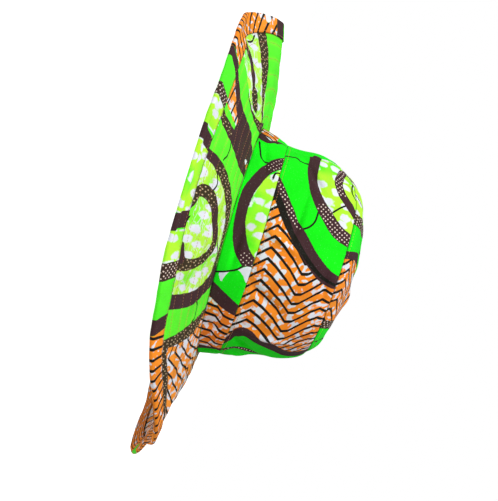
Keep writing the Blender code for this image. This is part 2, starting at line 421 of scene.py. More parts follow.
    def wall(self, turn: Array, share: Array) -> Array:
        """Outer face of the crown's wall, at shares of its height from the ring to the tip seam."""
        height = around(self.crown_sections, "seam", turn) * share
        shoulder = np.abs(share) ** self.wall_shoulder_power
        drawn_in = self.wall_straight * share + (1.0 - self.wall_straight) * shoulder
        seam = oval(turn, self.seam_half_length, self.seam_half_width, self.seam_centre)
        plan = self.ring(turn) * (1.0 - drawn_in)[..., None] + seam * drawn_in[..., None]
        push = self.crown_fold(turn, height) * 4.0 * share * (1.0 - share)
        return self.stand(plan + self.outward(turn) * push[..., None], height)

    def wall_frame(self, turn: Array, share: Array) -> tuple[Array, Array]:
        """Points of the crown's wall and their outward normals."""
        along = self.wall(turn + 1.0, share) - self.wall(turn - 1.0, share)
        rising = self.wall(turn, share + self.normal_step) - self.wall(turn, share - self.normal_step)
        return self.wall(turn, share), unit(np.cross(along, rising))

    def band_share(self, turn: Array) -> Array:
        """Share of the wall's height where the band ends and the side panel starts."""
        return around(self.crown_sections, "band", turn) / around(self.crown_sections, "seam", turn)

    def gap_share(self, turn: Array) -> Array:
        """The gap between two panels as a share of the wall's height."""
        return self.gap / around(self.crown_sections, "seam", turn)

    def loop_length(self, turn: Array, half_length: float, half_width: float, reach: float = 0.0) -> Array:
        """Length along an oval from the front, positive towards the near side.

        Args:
            turn: Turns in degrees from 0 to 360.
            half_length: Half of the oval's length in mm.
            half_width: Half of its width in mm.
            reach: How far outside the oval the line runs, in mm.

        Returns:
            The lengths in mm.
        """
        steps = np.arange(0.0, SHUT_LOOP + 0.1, 0.5)
        path = oval(steps, half_length, half_width) + self.outward(steps) * reach
        run = np.concatenate([[0.0], np.cumsum(np.linalg.norm(np.diff(path, axis=0), axis=1))])
        return np.interp(turn, steps, run - np.interp(HALF_LOOP, steps, run))

    def length_round(self, turn: Array, reach: float = 0.0) -> Array:
        """Millimetres round the hat from the front, at a reach in mm outside the head ring."""
        return self.loop_length(turn, self.ring_half_length / MM, self.ring_half_width / MM, reach)

    def tip(self, turn: Array, share: Array) -> Array:
        """Outer face of the top panel, at shares of the way from its middle out to the seam."""
        centre = np.array([self.seam_centre, 0.0])
        seam = oval(turn, self.seam_half_length, self.seam_half_width, self.seam_centre)
        plan = centre * (1.0 - share)[..., None] + seam * share[..., None]
        bowl = self.tip_bowl * share**2 + (1.0 - self.tip_bowl) * np.abs(share) ** self.tip_shoulder_power
        height = self.apex_height + (around(self.crown_sections, "seam", turn) - self.apex_height) * bowl
        for dent in self.tip_dents:
            away = np.hypot(plan[..., 0] / MM - dent.x, plan[..., 1] / MM - dent.y) / dent.spread
            height = height + dent.rise * MM * np.exp(-(away**2)) * (1.0 - share**2)
        return self.stand(plan, height)


class Ink(Enum):
    """The print's inks from the lowest to the highest, each with the name of its field on the cloth."""

    GREEN = "ink_green"
    LIME = "ink_lime"
    WHITE = "ink_white"
    ORANGE = "ink_orange"
    BROWN = "ink_brown"
    BLACK = "ink_black"
    DOTS = "ink_dots"


def smooth_path(points: Array, closed: bool, steps: int = 6) -> Array:
    """A rounded path through its points.

    Args:
        points: Rows whose first two columns are a place on the cloth.
        closed: Whether the path comes back to its start.
        steps: Short lengths for each span between two points.

    Returns:
        The rows of the rounded path.
    """
    if closed:
        frame_rows = np.vstack([points[-1:], points, points[:2]])
    else:
        first = 2 * points[:1] - points[1:2]
        last = 2 * points[-1:] - points[-2:-1]
        frame_rows = np.vstack([first, points, last])
    share = (np.arange(steps) / steps)[:, None]
    spans = []
    for before, start, end, after in zip(frame_rows, frame_rows[1:], frame_rows[2:], frame_rows[3:]):
        pull = (end - before) / 2.0
        push = (after - start) / 2.0
        curve = 2 * start - 2 * end + pull + push
        bend = 3 * end - 3 * start - 2 * pull - push
        spans.append(curve * share**3 + bend * share**2 + pull * share + start)
    spans.append(frame_rows[1:2] if closed else points[-1:])
    return np.vstack(spans)


def path_reach(places: Array, path: Array) -> tuple[Array, Array, Array]:
    """How places lie to a path.

    Args:
        places: Places on the cloth, one a row.
        path: Rows of the path, with its width in mm in a third column if it has one.

    Returns:
        Each place's distance to the path less half of its width, the side that it lies on, and
        whether a closed path holds it.
    """
    best = np.full(len(places), np.inf)
    side = np.ones(len(places))
    inside = np.zeros(len(places), dtype=bool)
    widths = path[:, 2] if path.shape[1] > 2 else np.zeros(len(path))
    for start, end, wide_start, wide_end in zip(path[:-1, :2], path[1:, :2], widths[:-1], widths[1:]):
        run = end - start
        rel = places - start
        share = ramp(rel @ run, max(run @ run, TINY))
        gap = np.hypot(rel[:, 0] - share * run[0], rel[:, 1] - share * run[1])
        gap = gap - (wide_start + (wide_end - wide_start) * share) / 2.0
        nearer = gap < best
        cross = run[0] * rel[:, 1] - run[1] * rel[:, 0]
        side = np.where(nearer, np.sign(cross) + (cross == 0), side)
        best = np.minimum(best, gap)
        crosses = (start[1] > places[:, 1]) != (end[1] > places[:, 1])
        if crosses.any():
            level = start[0] + (places[:, 1] - start[1]) * run[0] / (run[1] if run[1] else TINY)
            inside ^= crosses & (places[:, 0] < level)
    return best, side, inside


@dataclass(frozen=True)
class Lobe:
    """A filled shape of one ink with a rounded outline."""

    ink: Ink
    outline: Points

    def depth(self, places: Array) -> Array:
        """How deep each place lies in the shape, in mm, below zero outside it."""
        gap, _, inside = path_reach(places, smooth_path(np.array(self.outline, dtype=float), True))
        return np.where(inside, gap, -gap)

    def carried(self, angle: float, shift: tuple[float, float]) -> "Lobe":
        """The same shape turned about the cloth's middle and moved."""
        return Lobe(self.ink, carry(self.outline, angle, shift))


@dataclass(frozen=True)
class Ribbon:
    """A band of one ink along a path, each point with the band's width there."""

    ink: Ink
    path: Points

    def depth(self, places: Array) -> Array:
        """How deep each place lies in the band, in mm, below zero outside it."""
        gap, _, _ = path_reach(places, smooth_path(np.array(self.path, dtype=float), False))
        return -gap

    def carried(self, angle: float, shift: tuple[float, float]) -> "Ribbon":
        """The same band turned about the cloth's middle and moved."""
        return Ribbon(self.ink, carry(self.path, angle, shift))


@dataclass(frozen=True)
class Stripe:
    """A straight stripe across a tape, from one length along it to another, leaning to one side."""

    ink: Ink
    start: float
    end: float
    lean: float = 0.0

    def depth(self, places: Array) -> Array:
        """How deep each place lies in the stripe, in mm, below zero outside it."""
        along = places[:, 0] - self.lean * places[:, 1]
        return np.minimum(along - self.start, self.end - along)

    def carried(self, angle: float, shift: tuple[float, float]) -> "Stripe":
        """The same stripe moved along the tape, its lean kept whatever the angle."""
        return Stripe(self.ink, self.start + shift[0], self.end + shift[0], self.lean)


@dataclass(frozen=True)
class Tendril:
    """A thin dark line of the print."""

    path: Points

    def carried(self, angle: float, shift: tuple[float, float]) -> "Tendril":
        """The same line turned about the cloth's middle and moved."""
        return Tendril(carry(self.path, angle, shift))


Motif = Lobe | Ribbon | Stripe | Tendril


def carry(points: Points, angle: float, shift: tuple[float, float]) -> Points:
    """Turn a motif's points about the cloth's middle and move them.

    Args:
        points: The motif's points, a width kept where they have one.
        angle: Degrees to turn them by.
        shift: Millimetres to move them by.

    Returns:
        The points in their new place.
    """
    lean = math.radians(angle)
    moved = []
    for across, up, *width in points:
        new_across = across * math.cos(lean) - up * math.sin(lean) + shift[0]
        new_up = across * math.sin(lean) + up * math.cos(lean) + shift[1]
        moved.append((new_across, new_up, *width))
    return tuple(moved)


@dataclass(frozen=True)
class Zigzag:
    """The chevron lines of a panel: how far a line shifts at places across it, and their pitch in mm."""

    nodes: Points
    pitch: float
    period: float | None = None

    def phase(self, along: Array, across: Array) -> Array:
        """Number of the chevron line at each place, a whole number on a line."""
        places, shifts = zip(*self.nodes)
        return (along - np.interp(across, places, shifts, period=self.period)) / self.pitch


class PrintLayout:
    """The printed motifs on one panel, painted one over another into fields of depth."""

    LINE = "line_side"
    LINE_GAP = "line_gap"
    PHASE = "chevron"
    ROW = "stitch_row"
    SEAM = "seam_line"

    def __init__(self, places: Array) -> None:
        """Start with plain green cloth at the given places, one a row."""
        self.places = places
        self.fields = {ink.value: np.full(len(places), -FAR_FROM_INK) for ink in Ink}
        self.fields[Ink.GREEN.value] = np.full(len(places), FAR_FROM_INK)
        self.fields[self.LINE] = np.full(len(places), FAR_FROM_INK)
        self.fields[self.LINE_GAP] = np.full(len(places), FAR_FROM_INK)
        self.fields[self.PHASE] = np.zeros(len(places))
        self.fields[self.ROW] = np.full(len(places), FAR_FROM_INK)
        self.fields[self.SEAM] = np.full(len(places), FAR_FROM_INK)

    def paint(
        self, motifs: tuple[Motif, ...], angle: float = 0.0, shift: tuple[float, float] = (0.0, 0.0)
    ) -> None:
        """Print motifs over what is there.

        Args:
            motifs: The motifs in the order they are laid.
            angle: Degrees to turn them all by.
            shift: Millimetres to move them all by.
        """
        for motif in motifs:
            placed = motif.carried(angle, shift)
            if isinstance(placed, Tendril):
                self.draw(placed)
            else:
                self.lay(placed.ink, np.clip(placed.depth(self.places), -FAR_FROM_INK, FAR_FROM_INK))

    def paint_twice(self, motifs: tuple[Motif, ...], run: float) -> None:
        """Print motifs along a strip and again on the run of cloth before it."""
        self.paint(motifs)
        self.paint(motifs, 0.0, (-run, 0.0))

    def number_lines(self, zigzag: Zigzag, run: float = 0.0) -> None:
        """Number the chevron lines at each place, again from the start on the run of cloth before it."""
        along, across = self.places.T
        self.fields[self.PHASE] = zigzag.phase(np.where(along < 0.0, along + run, along), across)

    def lay(self, ink: Ink, depth: Array) -> None:
        """Lay one ink where its depth is above zero and take the inks over it away there."""
        self.fields[ink.value] = np.maximum(self.fields[ink.value], depth)
        order = list(Ink)
        for other in order[order.index(ink) + 1:]:
            self.fields[other.value] = np.minimum(self.fields[other.value], -depth)

    def draw(self, line: Tendril) -> None:
        """Add a thin line, kept as the side of it that a place lies on and the gap to it."""
        gap, side, _ = path_reach(self.places, smooth_path(np.array(line.path, dtype=float), False))
        nearer = gap < self.fields[self.LINE_GAP]
        self.fields[self.LINE] = np.where(nearer, gap * side, self.fields[self.LINE])
        self.fields[self.LINE_GAP] = np.where(nearer, gap, self.fields[self.LINE_GAP])


def srgb(red: int, green: int, blue: int) -> tuple[float, float, float, float]:
    """A shade given in screen values, as the linear colour that shaders read."""
    shares = [value / 255.0 for value in (red, green, blue)]
    linear = [share / 12.92 if share <= 0.04045 else ((share + 0.055) / 1.055) ** 2.4 for share in shares]
    return (*linear, 1.0)


class NodeBench:
    """Adds shader nodes to one material or world and wires them together."""

    def __init__(self, holder: bpy.types.Material | bpy.types.World) -> None:
        """Clear the holder's nodes and keep its tree."""
        holder.use_nodes = True
        self.tree = holder.node_tree
        self.tree.nodes.clear()

    def add(self, kind: str, **settings: object) -> bpy.types.Node:
        """Add a node and set its own properties."""
        node = self.tree.nodes.new(kind)
        for name, value in settings.items():
            setattr(node, name, value)
        return node

    def plug(self, source: object, socket: Socket) -> None:
        """Wire a socket to a source, or set its value where the source is a number or colour."""
        if isinstance(source, Socket):
            self.tree.links.new(source, socket)
        else:
            socket.default_value = source

    def math(self, operation: str, first: object, second: object = 0.0, clamp: bool = False) -> Socket:
        """Result of a math node with one or two inputs."""
        node = self.add("ShaderNodeMath", operation=operation, use_clamp=clamp)
        self.plug(first, node.inputs[0])
        self.plug(second, node.inputs[1])
        return node.outputs[0]

    def blend(self, factor: object, base: object, over: object, mode: str = "MIX") -> Socket:
        """Colour between two colours by a factor."""
        node = self.add("ShaderNodeMix", data_type="RGBA", blend_type=mode)
        self.plug(factor, node.inputs[0])
        self.plug(base, node.inputs[6])
        self.plug(over, node.inputs[7])
        return node.outputs[2]

    def field(self, name: str) -> Socket:
        """Value of one of the cloth's own fields."""
        return self.add("ShaderNodeAttribute", attribute_name=name).outputs["Fac"]

    def edge(self, depth: object, softness: float) -> Socket:
        """A clamped ramp through one half at a depth of zero."""
        scaled = self.math("MULTIPLY", depth, 1.0 / softness)
        return self.math("ADD", scaled, 0.5, clamp=True)

    def above(self, value: object, level: object, softness: float) -> Socket:
        """A clamped ramp through one half where a value rises past a level."""
        return self.edge(self.math("SUBTRACT", value, level), softness)

    def swing(self, value: object, size: float) -> Socket:
        """A value's swing about one half, made as wide as a size."""
        return self.math("MULTIPLY", self.math("SUBTRACT", value, 0.5), size)

    def noise(self, vector: object, scale: float, detail: float = 1.0, distortion: float = 0.0) -> Socket:
        """Value of a noise texture."""
        node = self.add("ShaderNodeTexNoise", noise_dimensions="3D")
        self.plug(vector, node.inputs["Vector"])
        node.inputs["Scale"].default_value = scale
        node.inputs["Detail"].default_value = detail
        node.inputs["Distortion"].default_value = distortion
        return node.outputs[0]

    def cells(self, vector: object, scale: float, randomness: float) -> Socket:
        """Distance to the nearest cell's middle in a cell texture, in cells."""
        node = self.add("ShaderNodeTexVoronoi", voronoi_dimensions="2D", feature="F1")
        self.plug(vector, node.inputs["Vector"])
        node.inputs["Scale"].default_value = scale
        node.inputs["Randomness"].default_value = randomness
        return node.outputs["Distance"]

    def placed(
        self, vector: object, shift: tuple[float, float, float] = UNMOVED, turn: float = 0.0,
        scale: tuple[float, float, float] = (1.0, 1.0, 1.0),
    ) -> Socket:
        """A place moved, turned in its plane by degrees and scaled."""
        node = self.add("ShaderNodeMapping")
        self.plug(vector, node.inputs["Vector"])
        node.inputs["Location"].default_value = shift
        node.inputs["Rotation"].default_value = (0.0, 0.0, math.radians(turn))
        node.inputs["Scale"].default_value = scale
        return node.outputs[0]


@dataclass(frozen=True)
class PrintInks:
    """The print's shades."""

    green: tuple = srgb(16, 241, 20)
    lime: tuple = srgb(182, 250, 52)
    orange: tuple = srgb(255, 138, 28)
    brown: tuple = srgb(66, 40, 44)
    black: tuple = srgb(26, 24, 18)
    white: tuple = srgb(228, 231, 240)
    olive: tuple = srgb(60, 50, 28)
    dot: tuple = srgb(244, 222, 208)


@dataclass(frozen=True)
class PrintedCotton:
    """Plain-woven cotton printed in wax resist, its fields read from the panel's own corners."""

    name: str
    seed: float
    inks: PrintInks = PrintInks()
    chevron_pitch: float = 8.8
    chevron_width: float = 2.6
    olive_ground: float = 0.0
    row_pucker_highlight: float = 0.0
    blob: float = 0.31
    vein: float = 0.0
    patch: float = 0.545
    draw_out: float = 1.0
    dot_size: float = 0.20
    dot_pitch: float = 2.9
    dot_scatter: float = 0.25
    thread_pitch: float = 0.55
    roughness: float = 0.82

    def material(self) -> bpy.types.Material:
        """Build the cloth's material.

        Returns:
            The material, which reads the cloth map and the print's fields.
        """
        material = bpy.data.materials.new(self.name)
        bench = NodeBench(material)
        raw = bench.add("ShaderNodeUVMap", uv_map=CLOTH_MAP).outputs[0]
        place = bench.placed(raw, (self.seed, self.seed * 0.7, 0.0), scale=(CLOTH_MAP_SCALE,) * 3)
        colour = self.printed(bench, place)
        colour = self.worn_and_shaded(bench, place, colour)
        shader = bench.add("ShaderNodeBsdfPrincipled")
        bench.plug(colour, shader.inputs["Base Color"])
        bench.plug(self.roughened(bench, place), shader.inputs["Roughness"])
        shader.inputs["Specular IOR Level"].default_value = 0.12
        shader.inputs["Sheen Weight"].default_value = 0.03
        shader.inputs["Sheen Roughness"].default_value = 0.5
        bench.plug(self.woven(bench, place), shader.inputs["Normal"])
        out = bench.add("ShaderNodeOutputMaterial")
        bench.plug(shader.outputs[0], out.inputs["Surface"])
        return material

    def printed(self, bench: NodeBench, place: object) -> object:
        """Lay the inks one on another.

        Args:
            bench: The material's nodes.
            place: The cloth's own place in mm.

        Returns:
            The colour socket of the fresh print.
        """
        bleed = bench.swing(bench.noise(place, 0.45, 2.0), 0.9)

        def inked(ink: Ink) -> object:
            """Mask of one ink with its slightly bled edge."""
            return bench.edge(bench.math("ADD", bench.field(ink.value), bleed), 0.30)

        colour = bench.blend(inked(Ink.LIME), self.green_ground(bench, place), self.lime_ground(bench, place))
        colour = bench.blend(inked(Ink.WHITE), colour, self.inks.white)
        colour = bench.blend(inked(Ink.ORANGE), colour, self.orange_ground(bench, place))
        line = bench.math("ABSOLUTE", bench.field(PrintLayout.LINE))
        thin = bench.above(0.78, line, 0.30)
        near = bench.above(1.7, bench.field(PrintLayout.LINE_GAP), 0.6)
        colour = bench.blend(bench.math("MULTIPLY", thin, near), colour, self.inks.black)
        colour = bench.blend(inked(Ink.BROWN), colour, self.brown_ground(bench, place))
        return bench.blend(inked(Ink.BLACK), colour, self.inks.black)

    def green_ground(self, bench: NodeBench, place: object) -> object:
        """Green cloth, paler and yellower beside the stitched rows: a painted highlight on the puckered cloth
        there.
        """
        if not self.row_pucker_highlight:
            return self.inks.green
        row = bench.above(1.6, bench.field(PrintLayout.ROW), 2.6)
        broken = bench.above(bench.noise(place, 0.05, 1.0), 0.45, 0.4)
        # Paler yellow-green beside the rows is a painted highlight of the puckers' ridges, broken up by
        # noise.
        faded = bench.math("MULTIPLY", bench.math("MULTIPLY", row, broken), self.row_pucker_highlight)
        return bench.blend(faded, self.inks.green, srgb(150, 250, 50))

    def lime_ground(self, bench: NodeBench, place: object) -> object:
        """Lime cloth with round and merged white patches, pale veins and greener clouds."""
        cloud = bench.above(bench.noise(place, 0.035, 1.0), 0.60, 0.22)
        ground = bench.blend(bench.math("MULTIPLY", cloud, 0.8), self.inks.lime, self.inks.green)
        if self.vein:
            strands = bench.placed(place, scale=(0.45, 1.0, 1.0))
            vein = bench.math("ABSOLUTE", bench.math("SUBTRACT", bench.noise(strands, 0.17, 1.0, 0.8), 0.5))
            vein = bench.math("MULTIPLY", bench.above(0.024, vein, 0.02), self.vein)
            ground = bench.blend(vein, ground, self.inks.white)
        place = bench.placed(place, scale=(1.0, self.draw_out, 1.0))
        wander = bench.add("ShaderNodeTexNoise")
        bench.plug(place, wander.inputs["Vector"])
        wander.inputs["Scale"].default_value = 0.12
        wander.inputs["Detail"].default_value = 1.5
        bent = bench.blend(0.9, wander.outputs["Color"], place)
        cell = bench.cells(bench.placed(bent, turn=25.0, scale=(1.0, 0.8, 1.0)), 0.105, 0.95)
        ragged = bench.swing(bench.noise(place, 0.14, 2.0), 0.70)
        patch = bench.math("ADD", bench.math("SUBTRACT", self.blob, cell), ragged)
        some = bench.above(bench.noise(place, 0.09, 1.0), 0.52, 0.05)
        rim = bench.math("MULTIPLY", bench.above(1.4, bench.field(Ink.LIME.value), 0.8), some)
        return bench.blend(bench.math("MAXIMUM", bench.edge(patch, 0.10), rim), ground, self.inks.white)

    def orange_ground(self, bench: NodeBench, place: object) -> object:
        """Orange cloth with white patches, crossed by the dark chevron lines."""
        drawn = bench.placed(place, scale=(1.0, self.draw_out, 1.0))
        patchy = bench.noise(drawn, 0.16, 1.6, 0.4)
        patch = bench.above(patchy, self.patch, 0.05)
        shade = bench.blend(bench.noise(place, 0.05, 1.0), self.inks.orange, srgb(255, 158, 44))
        ground = bench.blend(patch, shade, self.inks.white)
        wave = bench.math("SUBTRACT", bench.math("FRACT", bench.field(PrintLayout.PHASE)), 0.5)
        gap = bench.math("MULTIPLY", bench.math("ABSOLUTE", wave), self.chevron_pitch)
        swell = bench.swing(bench.noise(place, 0.16, 1.0), 0.7)
        half = bench.math("ADD", swell, self.chevron_width / 2)
        return bench.blend(bench.above(half, gap, 0.3), ground, self.inks.black)

    def brown_ground(self, bench: NodeBench, place: object) -> object:
        """Brown cloth, with rows of pale dots where the print has them."""
        dotted = bench.edge(bench.field(Ink.DOTS.value), 0.5)
        faded = bench.math("MULTIPLY", dotted, self.olive_ground)
        ground = bench.blend(faded, self.inks.brown, self.inks.olive)
        drawn = bench.placed(place, scale=(1.0, self.draw_out, 1.0))
        cell = bench.cells(bench.placed(drawn, turn=34.0), 1.0 / self.dot_pitch, self.dot_scatter)
        rim = bench.above(bench.field(Ink.BROWN.value), 0.7, 0.4)
        dot = bench.math("MULTIPLY", bench.above(self.dot_size, cell, 0.12), dotted)
        return bench.blend(bench.math("MULTIPLY", dot, rim), ground, self.inks.dot)

    def worn_and_shaded(self, bench: NodeBench, place: object, colour: object) -> object:
        """Vary the print with uneven dye mixed with painted shade of soft folds, slubs along the warp, paler
        rubbed threads, and a dark line along the seams that is painted shadow with grime.

        Args:
            bench: The material's nodes.
            place: The cloth's own place in mm.
            colour: The fresh print.

        Returns:
            The colour socket of the used cloth with its painted shade.
        """
        # Soft clouds of darker and lighter colour: partly uneven dye, partly painted shade of the cloth's
        # folds.
        dye_and_fold_shade = bench.swing(bench.noise(place, 0.04, 3.0), 0.42)
        slub = bench.noise(bench.placed(place, scale=(1.1, 0.09, 1.0)), 1.0, 1.0)
        weft = bench.noise(bench.placed(place, (3.0, 0.0, 0.0), scale=(0.09, 1.1, 1.0)), 1.0, 1.0)
        threads = bench.math("MULTIPLY", bench.math("SUBTRACT", bench.math("ADD", slub, weft), 1.0), 0.10)
        value = bench.math("ADD", bench.math("ADD", dye_and_fold_shade, threads), 1.0)
        tone = bench.add("ShaderNodeHueSaturation")
        bench.plug(colour, tone.inputs["Color"])
        bench.plug(value, tone.inputs["Value"])
        rubbed = bench.math("MULTIPLY", bench.above(bench.noise(place, 0.9, 3.0), 0.68, 0.1), 0.12)
        worn = bench.blend(rubbed, tone.outputs[0], self.inks.white)
        # Darkening along the seams: painted shadow in the seam where the panels meet, together with grime.
        seam = bench.above(0.7, bench.field(PrintLayout.SEAM), 0.8)
        return bench.blend(bench.math("MULTIPLY", seam, 0.6), worn, self.inks.black)

    def roughened(self, bench: NodeBench, place: object) -> object:
        """Roughness of the cloth, a little lower on the waxed dark inks."""
        dark = bench.edge(bench.field(Ink.BROWN.value), 0.4)
        grain = bench.math("MULTIPLY", bench.noise(place, 0.3, 2.0), 0.12)
        lowered = bench.math("MULTIPLY", dark, -0.08)
        return bench.math("ADD", bench.math("ADD", grain, lowered), self.roughness - 0.04)

    def woven(self, bench: NodeBench, place: object) -> object:
        """Normal of the plain weave, its slubs and the cloth's fine crinkle."""
        parts = bench.add("ShaderNodeSeparateXYZ")
        bench.plug(place, parts.inputs[0])
        rate = 2.0 * math.pi / self.thread_pitch
        warp = bench.math("SINE", bench.math("MULTIPLY", parts.outputs[0], rate))
        weft = bench.math("SINE", bench.math("MULTIPLY", parts.outputs[1], rate))
        weave = bench.math("MULTIPLY", warp, weft)
        crinkle = bench.math("MULTIPLY", bench.noise(place, 0.35, 3.0), 5.0)
        height = bench.math("ADD", bench.math("MULTIPLY", weave, 0.35), crinkle)
        bump = bench.add("ShaderNodeBump")
        bump.inputs["Strength"].default_value = 0.35
        bump.inputs["Distance"].default_value = 0.00012
        bench.plug(height, bump.inputs["Height"])
        return bump.outputs[0]


@dataclass(frozen=True)
class SewingThread:
    """Twisted tan sewing thread."""

    name: str = "sewing_thread"
    shade: tuple = srgb(226, 160, 104)
    dark_shade: tuple = srgb(170, 104, 66)
    roughness: float = 0.6

    def material(self) -> bpy.types.Material:
        """Build the thread's material.

        Returns:
            The material, its twist and colour changes in object coordinates.
        """
        material = bpy.data.materials.new(self.name)
        bench = NodeBench(material)
        place = bench.add("ShaderNodeTexCoord").outputs["Object"]
        colour = bench.blend(bench.noise(place, 160.0, 2.0), self.dark_shade, self.shade)
        twist = bench.add("ShaderNodeTexWave", bands_direction="DIAGONAL")
        bench.plug(place, twist.inputs["Vector"])
        twist.inputs["Scale"].default_value = 700.0
        bump = bench.add("ShaderNodeBump")
        bump.inputs["Strength"].default_value = 0.4
        bump.inputs["Distance"].default_value = 0.0001
        bench.plug(twist.outputs["Fac"], bump.inputs["Height"])
        shader = bench.add("ShaderNodeBsdfPrincipled")
        bench.plug(colour, shader.inputs["Base Color"])
        shader.inputs["Roughness"].default_value = self.roughness
        shader.inputs["Sheen Weight"].default_value = 0.1
        bench.plug(bump.outputs[0], shader.inputs["Normal"])
        out = bench.add("ShaderNodeOutputMaterial")
        bench.plug(shader.outputs[0], out.inputs["Surface"])
        return material


@dataclass
class ClothGrid:
    """A fine grid of cloth wrapped once round the hat."""

    name: str
    columns: int
    rows: int

    def turns(self) -> Array:
        """Turn of each column, the last one lying on the first."""
        return np.linspace(0.0, SHUT_LOOP, self.columns + 1)[:, None] * np.ones((1, self.rows + 1))

    def build(
        self, points: Array, cloth: Array, fields: dict[str, Array], bake: int | Array
    ) -> bpy.types.Object:
        """Make the wrapped mesh.

        Args:
            points: Place of each column and row.
            cloth: The cloth's own place in mm for each column and row.
            fields: The print's fields, a value for each column and row.
            bake: Number of strips that the bake map is cut in, or the map's own places.

        Returns:
            The new object, its loop and poles closed.
        """
        mesh = bpy.data.meshes.new(self.name)
        bm = bmesh.new()
        bm.loops.layers.uv.new(BAKE_MAP)
        bmesh.ops.create_grid(bm, x_segments=self.columns, y_segments=self.rows, size=0.5, calc_uvs=True)
        bm.to_mesh(mesh)
        bm.free()
        flat = np.empty(len(mesh.vertices) * 3)
        mesh.vertices.foreach_get("co", flat)
        flat = flat.reshape(-1, 3)
        column = np.rint((flat[:, 0] + 0.5) * self.columns).astype(int)
        row = np.rint((flat[:, 1] + 0.5) * self.rows).astype(int)
        mesh.vertices.foreach_set("co", points[column, row].ravel())
        corner = np.empty(len(mesh.loops), dtype=np.int64)
        mesh.loops.foreach_get("vertex_index", corner)
        column = column[corner]
        row = row[corner]
        mesh.uv_layers[BAKE_MAP].data.foreach_set("uv", self.bake_places(column, row, bake).ravel())
        own = mesh.uv_layers.new(name=CLOTH_MAP)
        own.data.foreach_set("uv", (cloth[column, row] / CLOTH_MAP_SCALE).ravel())
        for name, values in fields.items():
            layer = mesh.attributes.new(name, "FLOAT", "CORNER")
            layer.data.foreach_set("value", values.reshape(points.shape[:2])[column, row].astype(np.float32))
        bm = bmesh.new()
        bm.from_mesh(mesh)
        bmesh.ops.remove_doubles(bm, verts=bm.verts, dist=MERGE_DISTANCE)
        bm.to_mesh(mesh)
        bm.free()
        mesh.shade_smooth()
        piece = bpy.data.objects.new(self.name, mesh)
        bpy.context.scene.collection.objects.link(piece)
        return piece

    def bake_places(self, column: Array, row: Array, bake: int | Array) -> Array:
        """Places on the bake map for each corner.

        Args:
            column: Column of each corner.
            row: Row of each corner.
            bake: Number of strips, or the map's places for each column and row.

        Returns:
            The two coordinates of each corner.
        """
        if isinstance(bake, Array):
            return bake[column, row]
        first = np.repeat(column.reshape(-1, 4).min(axis=1), 4)
        strip = np.floor(first * bake / self.columns)
        return np.stack([column * bake / self.columns - strip, (strip + row / self.rows) / bake], axis=-1)


@dataclass(frozen=True)
class StitchRow:
    """A row of machine stitches along cloth: their length, the hole between two and the thread, in mm.

    The stand is the share of a stitch's height that its middle stands off the cloth.
    """

    length: float = 2.05
    hole: float = 0.55
    thread: float = 0.42
    height: float = 0.30
    stand: float = 0.30

    def placements(self, points: Array, normals: Array) -> list[Matrix]:
        """Where each stitch lies.

        Args:
            points: Points along the row, the last one on the first where it is a loop.
            normals: The cloth's outward normals there.

        Returns:
            A matrix for each stitch that turns a round bead into it.
        """
        lengths = np.linalg.norm(np.diff(points, axis=0), axis=1)
        run = np.concatenate([[0.0], np.cumsum(lengths)])
        count = max(int(run[-1] / ((self.length + self.hole) * MM)), 1)
        pace = run[-1] / count
        spots = (np.arange(count) + 0.5) * pace
        middle = self.at(run, points, spots)
        ahead = self.at(run, points, spots + 0.3 * pace) - self.at(run, points, spots - 0.3 * pace)
        normal = unit(self.at(run, normals, spots))
        along = unit(ahead)
        beside = unit(np.cross(normal, along))
        middle = middle + normal * self.height * MM * self.stand
        size = (self.length * MM / 2, self.thread * MM / 2, self.height * MM / 2)
        places = []
        for spot, first, second, third in zip(middle, along, beside, normal):
            turned = Matrix((first, second, third)).transposed().to_4x4()
            places.append(Matrix.Translation(Vector(spot)) @ turned @ Matrix.Diagonal((*size, 1.0)))
        return places

    @staticmethod
    def at(run: Array, values: Array, spots: Array) -> Array:
        """Values along the row at given lengths."""
        return np.stack([np.interp(spots, run, values[:, axis]) for axis in range(3)], axis=-1)


def sew(
    name: str, placements: list[Matrix], finish: bpy.types.Material, batch: int = 60
) -> bpy.types.Object:
    """Join stitches into one piece that rides with the hat.

    Args:
        name: The piece's name.
        placements: A matrix for each stitch.
        finish: The thread's material.
        batch: Stitches that are made at a time.

    Returns:
        The new object.
    """
    whole = bmesh.new()
    whole.loops.layers.uv.new(BAKE_MAP)
    part = bpy.data.meshes.new(name + "_part")
    for start in range(0, len(placements), batch):
        bm = bmesh.new()
        bm.loops.layers.uv.new(BAKE_MAP)
        for place in placements[start:start + batch]:
            bmesh.ops.create_icosphere(bm, subdivisions=1, radius=1.0, matrix=place, calc_uvs=True)
        bm.to_mesh(part)
        bm.free()
        whole.from_mesh(part)
    bpy.data.meshes.remove(part)
    mesh = bpy.data.meshes.new(name)
    whole.to_mesh(mesh)
    whole.free()
    mesh.shade_smooth()
    mesh.materials.append(finish)
    piece = bpy.data.objects.new(name, mesh)
    bpy.context.scene.collection.objects.link(piece)
    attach(piece, ROOT_BODY)
    return piece


def thicken(piece: bpy.types.Object, wall: float) -> None:
    """Give an open sheet its wall, inwards from its outer face."""
    solidify = piece.modifiers.new("wall", "SOLIDIFY")
    solidify.thickness = wall
    solidify.offset = -1.0
    solidify.use_even_offset = True


def dress(piece: bpy.types.Object, node: str, finish: bpy.types.Material) -> None:
    """Give a panel its finish, hang it on the hat's root body and hide the solid that it stands for.

    Args:
        piece: The panel.
        node: The solid that it stands for.
        finish: The panel's material.
    """
    piece.data.materials.append(finish)
    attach(piece, ROOT_BODY)
    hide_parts(node)


def stitched_turns() -> Array:
    """Turns of the places along a stitched row, once round the hat."""
    return np.linspace(0.0, SHUT_LOOP, STITCHED_STEPS + 1)


def dotted_ribbon(path: Points) -> tuple[Ribbon, Ribbon]:
    """A brown band that is dotted all along."""
    return Ribbon(Ink.BROWN, path), Ribbon(Ink.DOTS, path)


